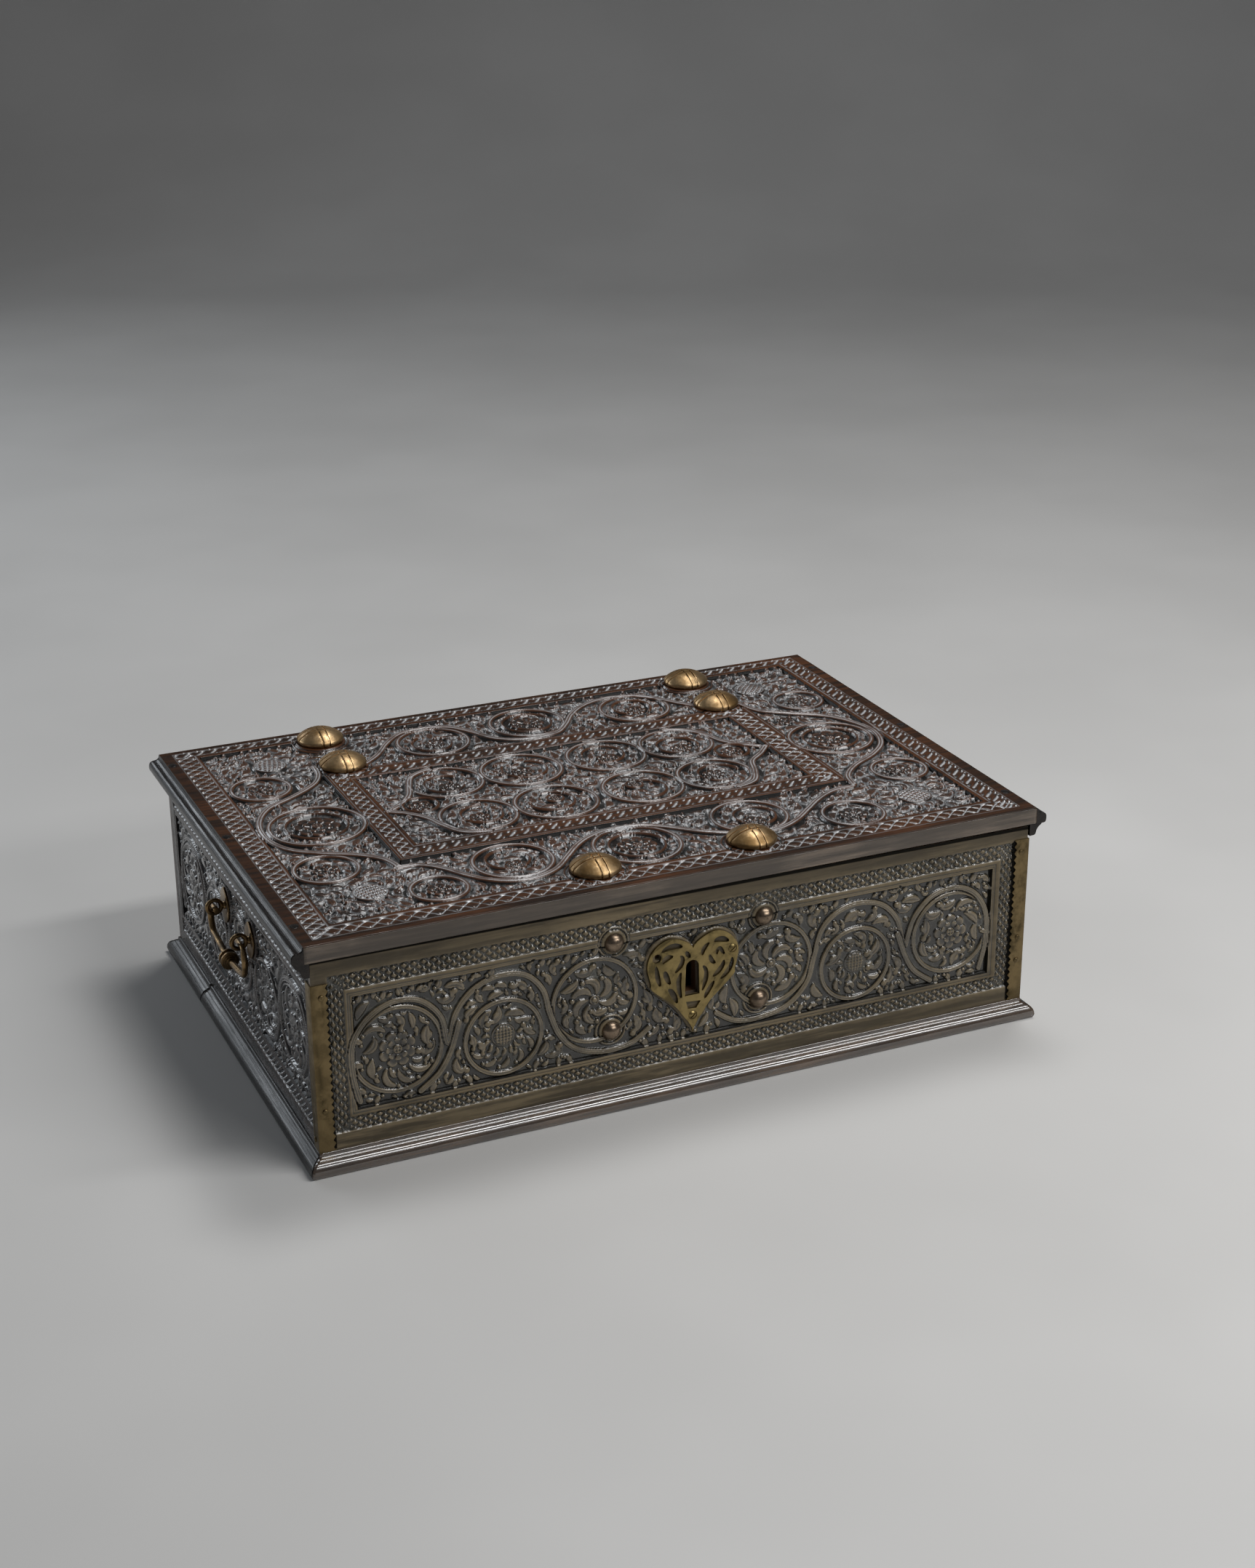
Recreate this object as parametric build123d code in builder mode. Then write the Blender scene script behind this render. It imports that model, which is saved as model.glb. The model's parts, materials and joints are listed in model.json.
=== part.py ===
from build123d import *
import math
import os

os.makedirs("parts", exist_ok=True)

# Frame: millimetres, +Z up, +X to the right as seen from the front, the front faces -Y.
# The origin is the centre of the footprint, on the surface that the box stands on.

# Case
case_width = 472.5
case_depth = 318.0
panel_thickness = 10.0
bottom_thickness = 8.8
bottom_clearance = 1.2
case_top = 135.9
front_top_left = 135.6
front_top_right = 133.6
lap_lip = 4.0

half_w = case_width / 2
half_d = case_depth / 2
panel_base = bottom_clearance + bottom_thickness

# Base moulding: projection and height of its section
base_height = 12.8
base_projection = 8.0
left_joint_y = 78.0

# Lid
lid_width = 480.0
lid_front_y = -162.2
lid_back_y = 161.8
lid_bottom = 136.0
lid_thickness = 10.8
lid_top = lid_bottom + lid_thickness
lid_depth = lid_back_y - lid_front_y
batten_inner_x = 237.1
batten_drop = 8.8
batten_width = 8.6

# Carved layout: depth of the sunk borders and of the sunk fields
border_sink = 1.0
field_sink = 1.6
pad_margin = 1.6

# Fittings on the lid
boss_radius = 15.7
boss_height = 9.4
shank_radius = 2.4
shank_clearance = 0.1
hinge_xs = (-134.3, 139.0)
hinge_boss_ys = (141.4, 92.0)
catch_boss_xs = (-50.0, 54.0)
catch_boss_y = -132.4

# Strap hinges
strap_width = 30.0
strap_thickness = 1.6
knuckle_radius = 3.0
pin_radius = 1.5
pin_fit = 0.05
hinge_axis_y = half_d + knuckle_radius + 0.4
hinge_axis_z = lid_bottom - knuckle_radius - 0.4
lid_knuckle_length = 10.8
knuckle_gap = 0.3
lid_strap_front_y = 76.0
case_strap_bottom_z = 74.0
case_rivet_zs = (116.0, 88.0)

# Lock
keyhole_x = 0.8
keyhole_round_z = 84.7
keyhole_round_radius = 4.3
keyhole_foot_z = 65.6
keyhole_foot_half = 4.9
heart_x = 1.4
lock_plate_thickness = 1.6
lock_case_depth = 15.0
lock_wall = 1.4
lock_nail_places = ((-49.8, 110.0), (-52.2, 52.2), (49.8, 108.0), (46.7, 52.2))
nail_head_radius = 6.2
staple_x = 12.0
staple_y = -140.8
bolt_bottom_z = 104.0
bolt_height = 10.0
bolt_thickness = 3.6

# Corner strips
strip_thickness = 0.8
strip_width = 9.6
strip_side_width = 9.0
strip_bottom = base_height + 0.2
strip_tops = {"left": 120.5, "right": 125.7}
tooth_pitch = 4.6
tooth_depth = 1.7
strip_nails = {
    "left": ((-230.8, 112.3), (-232.0, 39.4)),
    "right": ((231.6, 117.2), (232.4, 57.0), (232.4, 41.0)),
}
side_nail_y = -half_d + 5.6
side_nail_z = 19.5
nail_hole_radius = 0.85

# Handles: eyes on each side, and the bail that hangs in them
eye_y = 27.8
eye_z = 94.0
eye_ring_radius = 4.4
eye_wire_radius = 1.75
eye_shank_radius = 1.6
eye_stand_off = 7.3
handle_centre_y = -4.0
handle_plate_thickness = 1.0
handle_plate_half_height = 12.4
handle_plate_half_width = 9.0
bail_radius = 2.0
bail_seat = 0.45
bail_drop = 24.2


def named(piece, label):
    # Labels one finished piece and writes its file
    piece.label = label
    export_step(piece, f"parts/{label}.step")


def keyhole_outline():
    # Round head over a foot that widens downwards, drawn about the keyhole's own centre line
    with BuildLine() as line:
        ThreePointArc(
            (-keyhole_round_radius, keyhole_round_z),
            (0, keyhole_round_z + keyhole_round_radius),
            (keyhole_round_radius, keyhole_round_z),
        )
        Line((keyhole_round_radius, keyhole_round_z), (keyhole_foot_half, keyhole_foot_z))
        Line((keyhole_foot_half, keyhole_foot_z), (-keyhole_foot_half, keyhole_foot_z))
        Line((-keyhole_foot_half, keyhole_foot_z), (-keyhole_round_radius, keyhole_round_z))
    return line


# Sketch planes whose local x and y are the box's own X and Z, Y and Z, or X and Y
front_face = Plane((0, -half_d, 0), x_dir=(1, 0, 0), z_dir=(0, -1, 0))
back_face = Plane((0, half_d, 0), x_dir=(-1, 0, 0), z_dir=(0, 1, 0))
left_face = Plane((-half_w, 0, 0), x_dir=(0, -1, 0), z_dir=(-1, 0, 0))
right_face = Plane((half_w, 0, 0), x_dir=(0, 1, 0), z_dir=(1, 0, 0))
lid_face = Plane.XY.offset(lid_top)
heart_face = Plane((heart_x, -half_d, 0), x_dir=(1, 0, 0), z_dir=(0, -1, 0))

# Bottom board
with BuildPart() as bottom_board:
    with BuildSketch(Plane.XY.offset(bottom_clearance)):
        Rectangle(case_width, case_depth)
    extrude(amount=bottom_thickness)
named(bottom_board.part, "bottom_board")


# Base moulding: flat fillet, hollow, long weathered slope and a rounded nose
def moulding_section():
    # Drawn with x outwards from the panel face and y upwards
    with BuildLine() as line:
        Line((0, 0), (0, base_height))
        Line((0, base_height), (0.9, base_height))
        Line((0.9, base_height), (1.2, 11.6))
        ThreePointArc((1.2, 11.6), (1.8, 10.5), (3.2, 9.9))
        Line((3.2, 9.9), (3.5, 9.4))
        Line((3.5, 9.4), (6.2, 8.0))
        ThreePointArc((6.2, 8.0), (7.45, 6.6), (base_projection, 4.2))
        ThreePointArc((base_projection, 4.2), (7.8, 2.0), (6.9, 0))
        Line((6.9, 0), (0, 0))
    return line


def moulding_length(along, outwards, length):
    # One straight length with both ends cut to a mitre, centred on the middle of its panel
    reach = length / 2 + base_projection
    start = Vector(*outwards) - Vector(*along) * reach
    plane = Plane(origin=tuple(start), x_dir=Vector(*outwards).normalized(), z_dir=tuple(along))
    with BuildPart() as piece:
        with BuildSketch(plane):
            with BuildLine():
                add(moulding_section().line)
            make_face()
        extrude(amount=2 * reach)
        for side in (-1, 1):
            corner = Vector(*outwards) + Vector(*along) * (side * length / 2)
            across = (Vector(*along) * side - Vector(*outwards).normalized()).normalized()
            mitre = Plane(origin=tuple(corner), z_dir=tuple(across))
            split(bisect_by=mitre, keep=Keep.BOTTOM)
    return piece


base_front = moulding_length((-1, 0, 0), (0, -half_d, 0), case_width)
named(base_front.part, "base_moulding_front")
base_back = moulding_length((1, 0, 0), (0, half_d, 0), case_width)
named(base_back.part, "base_moulding_back")
base_right = moulding_length((0, -1, 0), (half_w, 0, 0), case_depth)
named(base_right.part, "base_moulding_right")
left_joint = Plane((0, left_joint_y, 0), z_dir=(0, 1, 0))
with BuildPart() as base_left_front:
    add(moulding_length((0, 1, 0), (-half_w, 0, 0), case_depth).part)
    split(bisect_by=left_joint, keep=Keep.BOTTOM)
named(base_left_front.part, "base_moulding_left_front")
with BuildPart() as base_left_rear:
    add(moulding_length((0, 1, 0), (-half_w, 0, 0), case_depth).part)
    split(bisect_by=left_joint, keep=Keep.TOP)
named(base_left_rear.part, "base_moulding_left_rear")


# Heart escutcheon: outline and piercings, drawn about the heart's own centre line
def heart_outline(grow=0.0):
    with BuildLine() as line:
        for side in (-1, 1):
            Spline(
                (0, 96.8 + grow),
                (side * 5.5, 102.4 + grow),
                (side * (15.8 + grow * 0.5), 105.6 + grow),
                (side * (26.5 + grow), 99.5 + grow * 0.7),
                (side * (30.3 + grow), 88.0),
                (side * (28.0 + grow), 77.0),
                (side * (22.4 + grow), 69.2 - grow * 0.4),
                tangents=((side * 0.35, 1), (-side * 0.75, -0.66)),
            )
            Line(
                (side * (22.4 + grow), 69.2 - grow * 0.4),
                (side * (13.2 + grow), 61.1 - grow * 0.4),
            )
            Spline(
                (side * (13.2 + grow), 61.1 - grow * 0.4),
                (side * (6.0 + grow), 51.5),
                (0, 40.0 - grow),
                tangents=((-side * 0.75, -0.66), (-side * 0.12, -1)),
            )
    return line


# Each piercing is a bent slot: start, middle, end, greatest width
heart_slots = (
    ((-20.5, 98.6), (-13.9, 100.4), (-7.7, 99.2), 2.9),
    ((-20.0, 90.8), (-17.6, 93.2), (-13.9, 93.9), 2.8),
    ((-8.0, 92.9), (-7.4, 88.6), (-11.7, 82.9), 2.1),
    ((-4.6, 95.2), (-3.6, 93.3), (-2.3, 91.4), 1.7),
    ((-24.5, 88.9), (-23.6, 82.0), (-22.0, 76.1), 2.1),
    ((-18.6, 84.6), (-17.7, 80.8), (-15.5, 76.1), 2.5),
    ((-8.2, 81.4), (-9.5, 74.5), (-8.0, 65.4), 2.1),
    ((-16.1, 72.2), (-13.3, 68.3), (-10.8, 62.6), 2.5),
    ((6.1, 91.4), (7.3, 95.1), (10.2, 98.0), 2.0),
    ((14.4, 98.8), (18.6, 99.2), (23.4, 97.2), 2.8),
    ((15.8, 90.1), (17.2, 93.2), (20.6, 89.2), 1.8),
    ((11.2, 89.7), (12.3, 86.4), (14.5, 84.2), 1.8),
    ((7.0, 83.3), (8.7, 77.0), (6.3, 67.6), 2.0),
    ((20.6, 84.2), (18.3, 79.5), (13.6, 75.4), 2.4),
    ((26.2, 84.8), (24.3, 78.3), (18.8, 72.8), 2.3),
    ((13.9, 71.4), (10.5, 66.7), (7.9, 62.0), 2.2),
)
foot_opening = ((-4.5, 61.1), (4.7, 60.4), (1.9, 56.7), (-3.0, 57.0))


def bent_slot(start, middle, end, width):
    # Outline through eight points about a bent centre line, widest at its middle
    bend = [2 * m - (a + b) / 2 for a, m, b in zip(start, middle, end)]
    sides = ([], [])
    for t, share in ((0.12, 0.56), (0.5, 1.0), (0.88, 0.56)):
        x, z = [
            (1 - t) ** 2 * a + 2 * t * (1 - t) * c + t**2 * b
            for a, c, b in zip(start, bend, end)
        ]
        run, climb = [
            (1 - t) * (c - a) + t * (b - c) for a, c, b in zip(start, bend, end)
        ]
        reach = width / 2 * share / math.hypot(run, climb)
        sides[0].append((x - climb * reach, z + run * reach))
        sides[1].append((x + climb * reach, z - run * reach))
    return [start, *sides[0], end, *reversed(sides[1])]


escutcheon_thickness = 1.5
screw_places = ((26.4, 91.6), (-0.2, 51.8))
empty_hole_place = (-24.0, 94.4)
screw_hole_radius = 2.9

with BuildPart() as escutcheon:
    with BuildSketch(heart_face):
        with BuildLine():
            add(heart_outline().line)
        make_face()
        for slot in heart_slots:
            with BuildLine():
                Spline(*bent_slot(*slot), periodic=True)
            make_face(mode=Mode.SUBTRACT)
        with BuildLine():
            Polyline(*foot_opening, close=True)
        make_face(mode=Mode.SUBTRACT)
        with Locations(empty_hole_place, *screw_places):
            Circle(screw_hole_radius, mode=Mode.SUBTRACT)
        with Locations((keyhole_x - heart_x, 0)):
            add(make_face(keyhole_outline().edges(), mode=Mode.PRIVATE), mode=Mode.SUBTRACT)
    extrude(amount=escutcheon_thickness)
named(escutcheon.part, "escutcheon")


def sunk_frame(outer, inner):
    # The area between two rectangles, each given as low x, low y, high x, high y
    for (x0, y0, x1, y1), mode in ((outer, Mode.ADD), (inner, Mode.SUBTRACT)):
        with Locations(((x0 + x1) / 2, (y0 + y1) / 2)):
            Rectangle(x1 - x0, y1 - y0, mode=mode)


def dome_profile(radius, height, rim_in, rim_up):
    # Half section of a domed head: a short steep rim under part of a ball
    edge = radius - rim_in
    rise = height - rim_up
    ball = (edge**2 + rise**2) / (2 * rise)
    with BuildLine() as line:
        Line((0, 0), (radius, 0))
        Line((radius, 0), (edge, rim_up))
        ThreePointArc(
            (edge, rim_up),
            (edge * 0.6, height - ball + math.sqrt(ball**2 - (edge * 0.6) ** 2)),
            (0, height),
        )
        Line((0, height), (0, 0))
    return line


def nail(head_radius, head_height, radius, length, clench_radius=0.0, clench_thickness=1.2):
    # A domed nail or rivet about Z, its head above z = 0 and its shank below
    with BuildPart() as piece:
        with BuildSketch(Plane.XZ):
            with BuildLine():
                add(dome_profile(head_radius, head_height, 0.15, 0.5).line)
            make_face()
        revolve(axis=Axis.Z)
        with Locations((0, 0, -length / 2)):
            Cylinder(radius, length)
        if clench_radius:
            with Locations((0, 0, -length + clench_thickness / 2)):
                Cylinder(clench_radius, clench_thickness)
    return piece.part


# Front panel: sunk borders and field, a heart shaped seat and round seats for the fittings
front_border = ((-226, 22.5, 227, 124.5), (-217, 31.5, 216, 113.5))
front_field = (-212, 36, 211.5, 108.6)

with BuildPart() as front_panel:
    with BuildSketch(front_face):
        Polygon(
            (-half_w, panel_base),
            (half_w, panel_base),
            (half_w, front_top_right),
            (-half_w, front_top_left),
            align=None,
        )
    extrude(amount=-panel_thickness)
    for side in (-1, 1):
        with Locations((side * (half_w - panel_thickness / 2), -half_d + lap_lip, 0)):
            Box(
                panel_thickness,
                panel_thickness - lap_lip,
                2 * lid_top,
                align=(Align.CENTER, Align.MIN, Align.CENTER),
                mode=Mode.SUBTRACT,
            )
    with BuildSketch(front_face):
        sunk_frame(*front_border)
        with Locations(*lock_nail_places):
            Circle(nail_head_radius + pad_margin, mode=Mode.SUBTRACT)
    extrude(amount=-border_sink, mode=Mode.SUBTRACT)
    with BuildSketch(front_face):
        x0, z0, x1, z1 = front_field
        with Locations(((x0 + x1) / 2, (z0 + z1) / 2)):
            Rectangle(x1 - x0, z1 - z0)
        with Locations(*lock_nail_places):
            Circle(nail_head_radius + pad_margin, mode=Mode.SUBTRACT)
        with Locations((heart_x, 0)):
            add(make_face(heart_outline(pad_margin).edges(), mode=Mode.PRIVATE), mode=Mode.SUBTRACT)
    extrude(amount=-field_sink, mode=Mode.SUBTRACT)
    with BuildSketch(front_face):
        with Locations((keyhole_x, 0)):
            add(make_face(keyhole_outline().edges(), mode=Mode.PRIVATE))
        with Locations(*lock_nail_places):
            Circle(1.9 + shank_clearance)
    extrude(amount=-panel_thickness, mode=Mode.SUBTRACT)
    with BuildSketch(heart_face):
        with Locations(*screw_places):
            Circle(1.5 + shank_clearance)
        with Locations(empty_hole_place):
            Circle(screw_hole_radius - 0.4)
    extrude(amount=-8.2, mode=Mode.SUBTRACT)
    with BuildSketch(front_face):
        with Locations(*strip_nails["left"], *strip_nails["right"]):
            Circle(nail_hole_radius)
    extrude(amount=-3.4, mode=Mode.SUBTRACT)
named(front_panel.part, "front_panel")


# Side panels: the same border and field, with seats for the handle plates
side_border = ((-148, 22.5, 148, 124.5), (-138, 31.5, 138, 113.5))
side_field = (-134, 36, 134, 108.6)


def plate_outline(grow=0.0):
    # Pointed oval of a handle's backplate, about its own centre
    w = handle_plate_half_width + grow
    h = handle_plate_half_height + grow
    with BuildLine() as line:
        ThreePointArc((0, -h), (w, 0), (0, h))
        ThreePointArc((0, h), (-w, 0), (0, -h))
    return line


def side_panel(face, centre):
    # centre is the handle's place along the face's own x
    eyes = [(centre + side * eye_y, eye_z) for side in (-1, 1)]
    with BuildPart() as piece:
        with BuildSketch(face):
            with Locations((0, (panel_base + case_top) / 2)):
                Rectangle(case_depth - 2 * lap_lip, case_top - panel_base)
        extrude(amount=-panel_thickness)
        with BuildSketch(face):
            sunk_frame(*side_border)
        extrude(amount=-border_sink, mode=Mode.SUBTRACT)
        with BuildSketch(face):
            x0, z0, x1, z1 = side_field
            with Locations(((x0 + x1) / 2, (z0 + z1) / 2)):
                Rectangle(x1 - x0, z1 - z0)
            with Locations(*eyes):
                seat = make_face(plate_outline(pad_margin).edges(), mode=Mode.PRIVATE)
                add(seat, mode=Mode.SUBTRACT)
        extrude(amount=-field_sink, mode=Mode.SUBTRACT)
        with BuildSketch(face):
            with Locations(*eyes):
                Circle(eye_shank_radius + shank_clearance)
        extrude(amount=-panel_thickness, mode=Mode.SUBTRACT)
        with BuildSketch(face):
            with Locations((face.x_dir.Y * side_nail_y, side_nail_z)):
                Circle(nail_hole_radius)
        extrude(amount=-5.4, mode=Mode.SUBTRACT)
    return piece.part


named(side_panel(left_face, -handle_centre_y), "left_panel")
named(side_panel(right_face, handle_centre_y), "right_panel")

# Back panel: plain, notched at the top where the lid straps cross it
with BuildPart() as back_panel:
    with BuildSketch(back_face):
        with Locations((0, (panel_base + case_top) / 2)):
            Rectangle(case_width, case_top - panel_base)
        for x in hinge_xs:
            with Locations((-x, case_top)):
                Rectangle(strap_width + 0.8, 2 * (strap_thickness + 0.3), mode=Mode.SUBTRACT)
            with Locations(*[(-x, z) for z in case_rivet_zs]):
                Circle(1.9 + shank_clearance, mode=Mode.SUBTRACT)
    extrude(amount=-panel_thickness)
    for side in (-1, 1):
        with Locations((side * (half_w - panel_thickness / 2), half_d - lap_lip, 0)):
            Box(
                panel_thickness,
                panel_thickness - lap_lip,
                2 * lid_top,
                align=(Align.CENTER, Align.MAX, Align.CENTER),
                mode=Mode.SUBTRACT,
            )
named(back_panel.part, "back_panel")

# Lid board: a fillet, a hollow and a rounded nose are run on both ends
lid_border = ((-231, -151.7, 231, 157.8), (-220, -141.7, 220, 149.8))
lid_field = (-216, -137.2, 216, 145.8)
centre_frame = (-151, -70.2, 156, 82.8)
centre_border = ((-146.7, -65.2, 151.5, 78.8), (-138.7, -55.2, 140.5, 68.8))
centre_field = (-133.5, -51.2, 136, 65.8)
boss_places = [(x, y) for x in hinge_xs for y in hinge_boss_ys]
catch_places = [(x, catch_boss_y) for x in catch_boss_xs]
plug_places = ((-1, 139.0), (-1, 8.0), (-1, -132.6), (1, 132.0), (1, 3.0), (1, -130.0))
plug_x = 236.6
plug_radius = 3.1
plug_depth = 4.0
plug_nail_x = 238.2
plug_nail_head = 0.8

with BuildPart() as lid_board:
    with BuildSketch(Plane.XZ.offset(-lid_back_y)):
        with BuildLine():
            for side in (-1, 1):
                top_x = side * lid_width / 2
                Line((0, lid_top), (top_x, lid_top))
                Line((top_x, lid_top), (top_x + side * 0.5, lid_top - 1.7))
                ThreePointArc(
                    (top_x + side * 0.5, lid_top - 1.7),
                    (top_x + side * 2.0, lid_top - 3.1),
                    (top_x + side * 4.6, lid_top - 3.7),
                )
                ThreePointArc(
                    (top_x + side * 4.6, lid_top - 3.7),
                    (top_x + side * 6.6, lid_top - 4.6),
                    (top_x + side * 7.3, lid_top - 6.6),
                )
                Line((top_x + side * 7.3, lid_top - 6.6), (top_x + side * 7.2, lid_top - 9.6))
                ThreePointArc(
                    (top_x + side * 7.2, lid_top - 9.6),
                    (top_x + side * 6.85, lid_top - 10.45),
                    (top_x + side * 6.0, lid_bottom),
                )
                Line((top_x + side * 6.0, lid_bottom), (0, lid_bottom))
        make_face()
    extrude(amount=lid_depth)
    with BuildSketch(lid_face):
        sunk_frame(*lid_border)
        sunk_frame(*centre_border)
        with Locations(*boss_places, *catch_places):
            Circle(boss_radius + pad_margin, mode=Mode.SUBTRACT)
    extrude(amount=-border_sink, mode=Mode.SUBTRACT)
    with BuildSketch(lid_face):
        sunk_frame(lid_field, centre_frame)
        x0, y0, x1, y1 = centre_field
        with Locations(((x0 + x1) / 2, (y0 + y1) / 2)):
            Rectangle(x1 - x0, y1 - y0)
        with Locations(*boss_places, *catch_places):
            Circle(boss_radius + pad_margin, mode=Mode.SUBTRACT)
    extrude(amount=-field_sink, mode=Mode.SUBTRACT)
    with BuildSketch(lid_face):
        with Locations(*boss_places, *catch_places):
            Circle(shank_radius + shank_clearance)
        with Locations(*[(side * plug_nail_x, y) for side, y in plug_places]):
            Circle(0.85)
    extrude(amount=-lid_thickness, mode=Mode.SUBTRACT)
    with BuildSketch(lid_face):
        with Locations(*[(side * plug_x, y) for side, y in plug_places]):
            Circle(plug_radius)
    extrude(amount=-plug_depth - plug_nail_head, mode=Mode.SUBTRACT)
named(lid_board.part, "lid_board")

with BuildPart() as lid_plugs:
    with BuildSketch(lid_face):
        with Locations(*[(side * plug_x, y) for side, y in plug_places]):
            Circle(plug_radius)
    extrude(amount=-plug_depth)
named(lid_plugs.part, "lid_plugs")

with BuildPart() as batten_nails:
    with BuildSketch(lid_face.offset(-plug_depth)):
        with Locations(*[(side * plug_nail_x, y) for side, y in plug_places]):
            Circle(1.35)
    extrude(amount=-plug_nail_head)
    with BuildSketch(lid_face.offset(-plug_depth)):
        with Locations(*[(side * plug_nail_x, y) for side, y in plug_places]):
            Circle(0.8)
    extrude(amount=-12.6)
named(batten_nails.part, "batten_nails")


# Side mouldings that hang under the lid's ends, outside the side panels
def lid_batten(side, front_y):
    with BuildPart() as piece:
        with BuildSketch(Plane.XZ.offset(-lid_back_y)):
            x0 = side * batten_inner_x
            with BuildLine():
                Line((x0, lid_bottom), (x0 + side * batten_width, lid_bottom))
                Line(
                    (x0 + side * batten_width, lid_bottom),
                    (x0 + side * batten_width, lid_bottom - 1.6),
                )
                Line(
                    (x0 + side * batten_width, lid_bottom - 1.6),
                    (x0 + side * 7.7, lid_bottom - 2.3),
                )
                ThreePointArc(
                    (x0 + side * 7.7, lid_bottom - 2.3),
                    (x0 + side * 5.5, lid_bottom - 4.2),
                    (x0 + side * 4.6, lid_bottom - 7.0),
                )
                ThreePointArc(
                    (x0 + side * 4.6, lid_bottom - 7.0),
                    (x0 + side * 4.1, lid_bottom - 8.3),
                    (x0 + side * 3.2, lid_bottom - batten_drop),
                )
                Line((x0 + side * 3.2, lid_bottom - batten_drop), (x0, lid_bottom - batten_drop))
                Line((x0, lid_bottom - batten_drop), (x0, lid_bottom))
            make_face()
        extrude(amount=lid_back_y - front_y)
        with BuildSketch(lid_face):
            for place_side, y in plug_places:
                if place_side == side:
                    with Locations((side * plug_nail_x, y)):
                        Circle(0.85)
        extrude(amount=-plug_depth - 12.6, mode=Mode.SUBTRACT)
    return piece.part


named(lid_batten(-1, lid_front_y + 0.8), "lid_moulding_left")
named(lid_batten(1, lid_front_y + 2.4), "lid_moulding_right")


# Domed bosses, each cut with two pairs of crossed grooves
groove_width = 1.3
groove_depth = 1.0
groove_pair_gap = 2.3


def cushion_profile(radius, height):
    # Half section of a boss: a rolled rim, turned in at its foot, under part of a ball
    shoulder = radius - 0.9
    rise = height - 3.8
    ball = (shoulder**2 + rise**2) / (2 * rise)
    with BuildLine() as line:
        Line((0, 0), (shoulder, 0))
        ThreePointArc((shoulder, 0), (radius, 1.9), (shoulder, 3.8))
        ThreePointArc(
            (shoulder, 3.8),
            (shoulder * 0.6, height - ball + math.sqrt(ball**2 - (shoulder * 0.6) ** 2)),
            (0, height),
        )
        Line((0, height), (0, 0))
    return line


with BuildPart() as groove_cutter:
    for angle in (0, 90):
        for side in (-1, 1):
            with Locations(Rotation(0, 0, angle) * Location((0, side * groove_pair_gap, 0.4))):
                Box(
                    3 * boss_radius,
                    groove_width,
                    boss_height + 1,
                    align=(Align.CENTER, Align.CENTER, Align.MIN),
                )
    with BuildSketch(Plane.XZ):
        with BuildLine():
            add(cushion_profile(boss_radius - groove_depth, boss_height - groove_depth).line)
        make_face()
    revolve(axis=Axis.Z, mode=Mode.SUBTRACT)

boss_shank = lid_thickness + strap_thickness

with BuildPart() as boss:
    with BuildSketch(Plane.XZ):
        with BuildLine():
            add(cushion_profile(boss_radius, boss_height).line)
        make_face()
    revolve(axis=Axis.Z)
    add(groove_cutter.part, mode=Mode.SUBTRACT)
    with Locations((0, 0, -boss_shank / 2)):
        Cylinder(shank_radius, boss_shank)
    with Locations((0, 0, -boss_shank - 0.5)):
        Cylinder(3.6, 1.0)

with BuildPart() as hinge_bosses:
    with Locations(*[(x, y, lid_top) for x, y in boss_places]):
        add(boss.part)
named(hinge_bosses.part, "hinge_bosses")

with BuildPart() as catch_bosses:
    with Locations(*[(x, y, lid_top) for x, y in catch_places]):
        add(boss.part)
named(catch_bosses.part, "catch_bosses")

# Strap hinges: the knuckles stand behind the back panel, under the lid's back edge
hinge_side_length = (strap_width - lid_knuckle_length) / 2 - knuckle_gap
for side_name, x in zip(("left", "right"), hinge_xs):
    with BuildPart() as lid_strap:
        with BuildSketch(Plane.XY.offset(lid_bottom)):
            rear_y = hinge_axis_y - knuckle_radius - 0.8
            nose_y = lid_strap_front_y + strap_width / 2
            with Locations((x, (rear_y + nose_y) / 2)):
                Rectangle(strap_width, rear_y - nose_y)
            with Locations((x, nose_y)):
                Circle(strap_width / 2)
            with Locations((x, lid_back_y)):
                Rectangle(lid_knuckle_length, 12, align=(Align.CENTER, Align.MAX))
            with Locations(*[(x, y) for y in hinge_boss_ys]):
                Circle(shank_radius + shank_clearance, mode=Mode.SUBTRACT)
        extrude(amount=-strap_thickness)
        with Locations(Location((x, hinge_axis_y, hinge_axis_z), (0, 90, 0))):
            Cylinder(knuckle_radius, lid_knuckle_length)
            Cylinder(pin_radius + pin_fit, lid_knuckle_length, mode=Mode.SUBTRACT)
    named(lid_strap.part, f"hinge_lid_strap_{side_name}")

    with BuildPart() as case_strap:
        with BuildSketch(back_face):
            tail_z = case_strap_bottom_z + strap_width / 2
            shoulder_z = hinge_axis_z - knuckle_radius - 0.6
            with Locations((-x, (tail_z + shoulder_z) / 2)):
                Rectangle(strap_width, shoulder_z - tail_z)
            with Locations((-x, tail_z)):
                Circle(strap_width / 2)
            for side in (-1, 1):
                with Locations((-x + side * (strap_width - hinge_side_length) / 2, hinge_axis_z)):
                    Rectangle(hinge_side_length, 8, align=(Align.CENTER, Align.MAX))
            with Locations(*[(-x, z) for z in case_rivet_zs]):
                Circle(1.9 + shank_clearance, mode=Mode.SUBTRACT)
        extrude(amount=strap_thickness)
        for side in (-1, 1):
            knuckle_x = x + side * (strap_width - hinge_side_length) / 2
            with Locations(Location((knuckle_x, hinge_axis_y, hinge_axis_z), (0, 90, 0))):
                Cylinder(knuckle_radius, hinge_side_length)
                Cylinder(pin_radius + pin_fit, hinge_side_length, mode=Mode.SUBTRACT)
    named(case_strap.part, f"hinge_case_strap_{side_name}")

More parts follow.
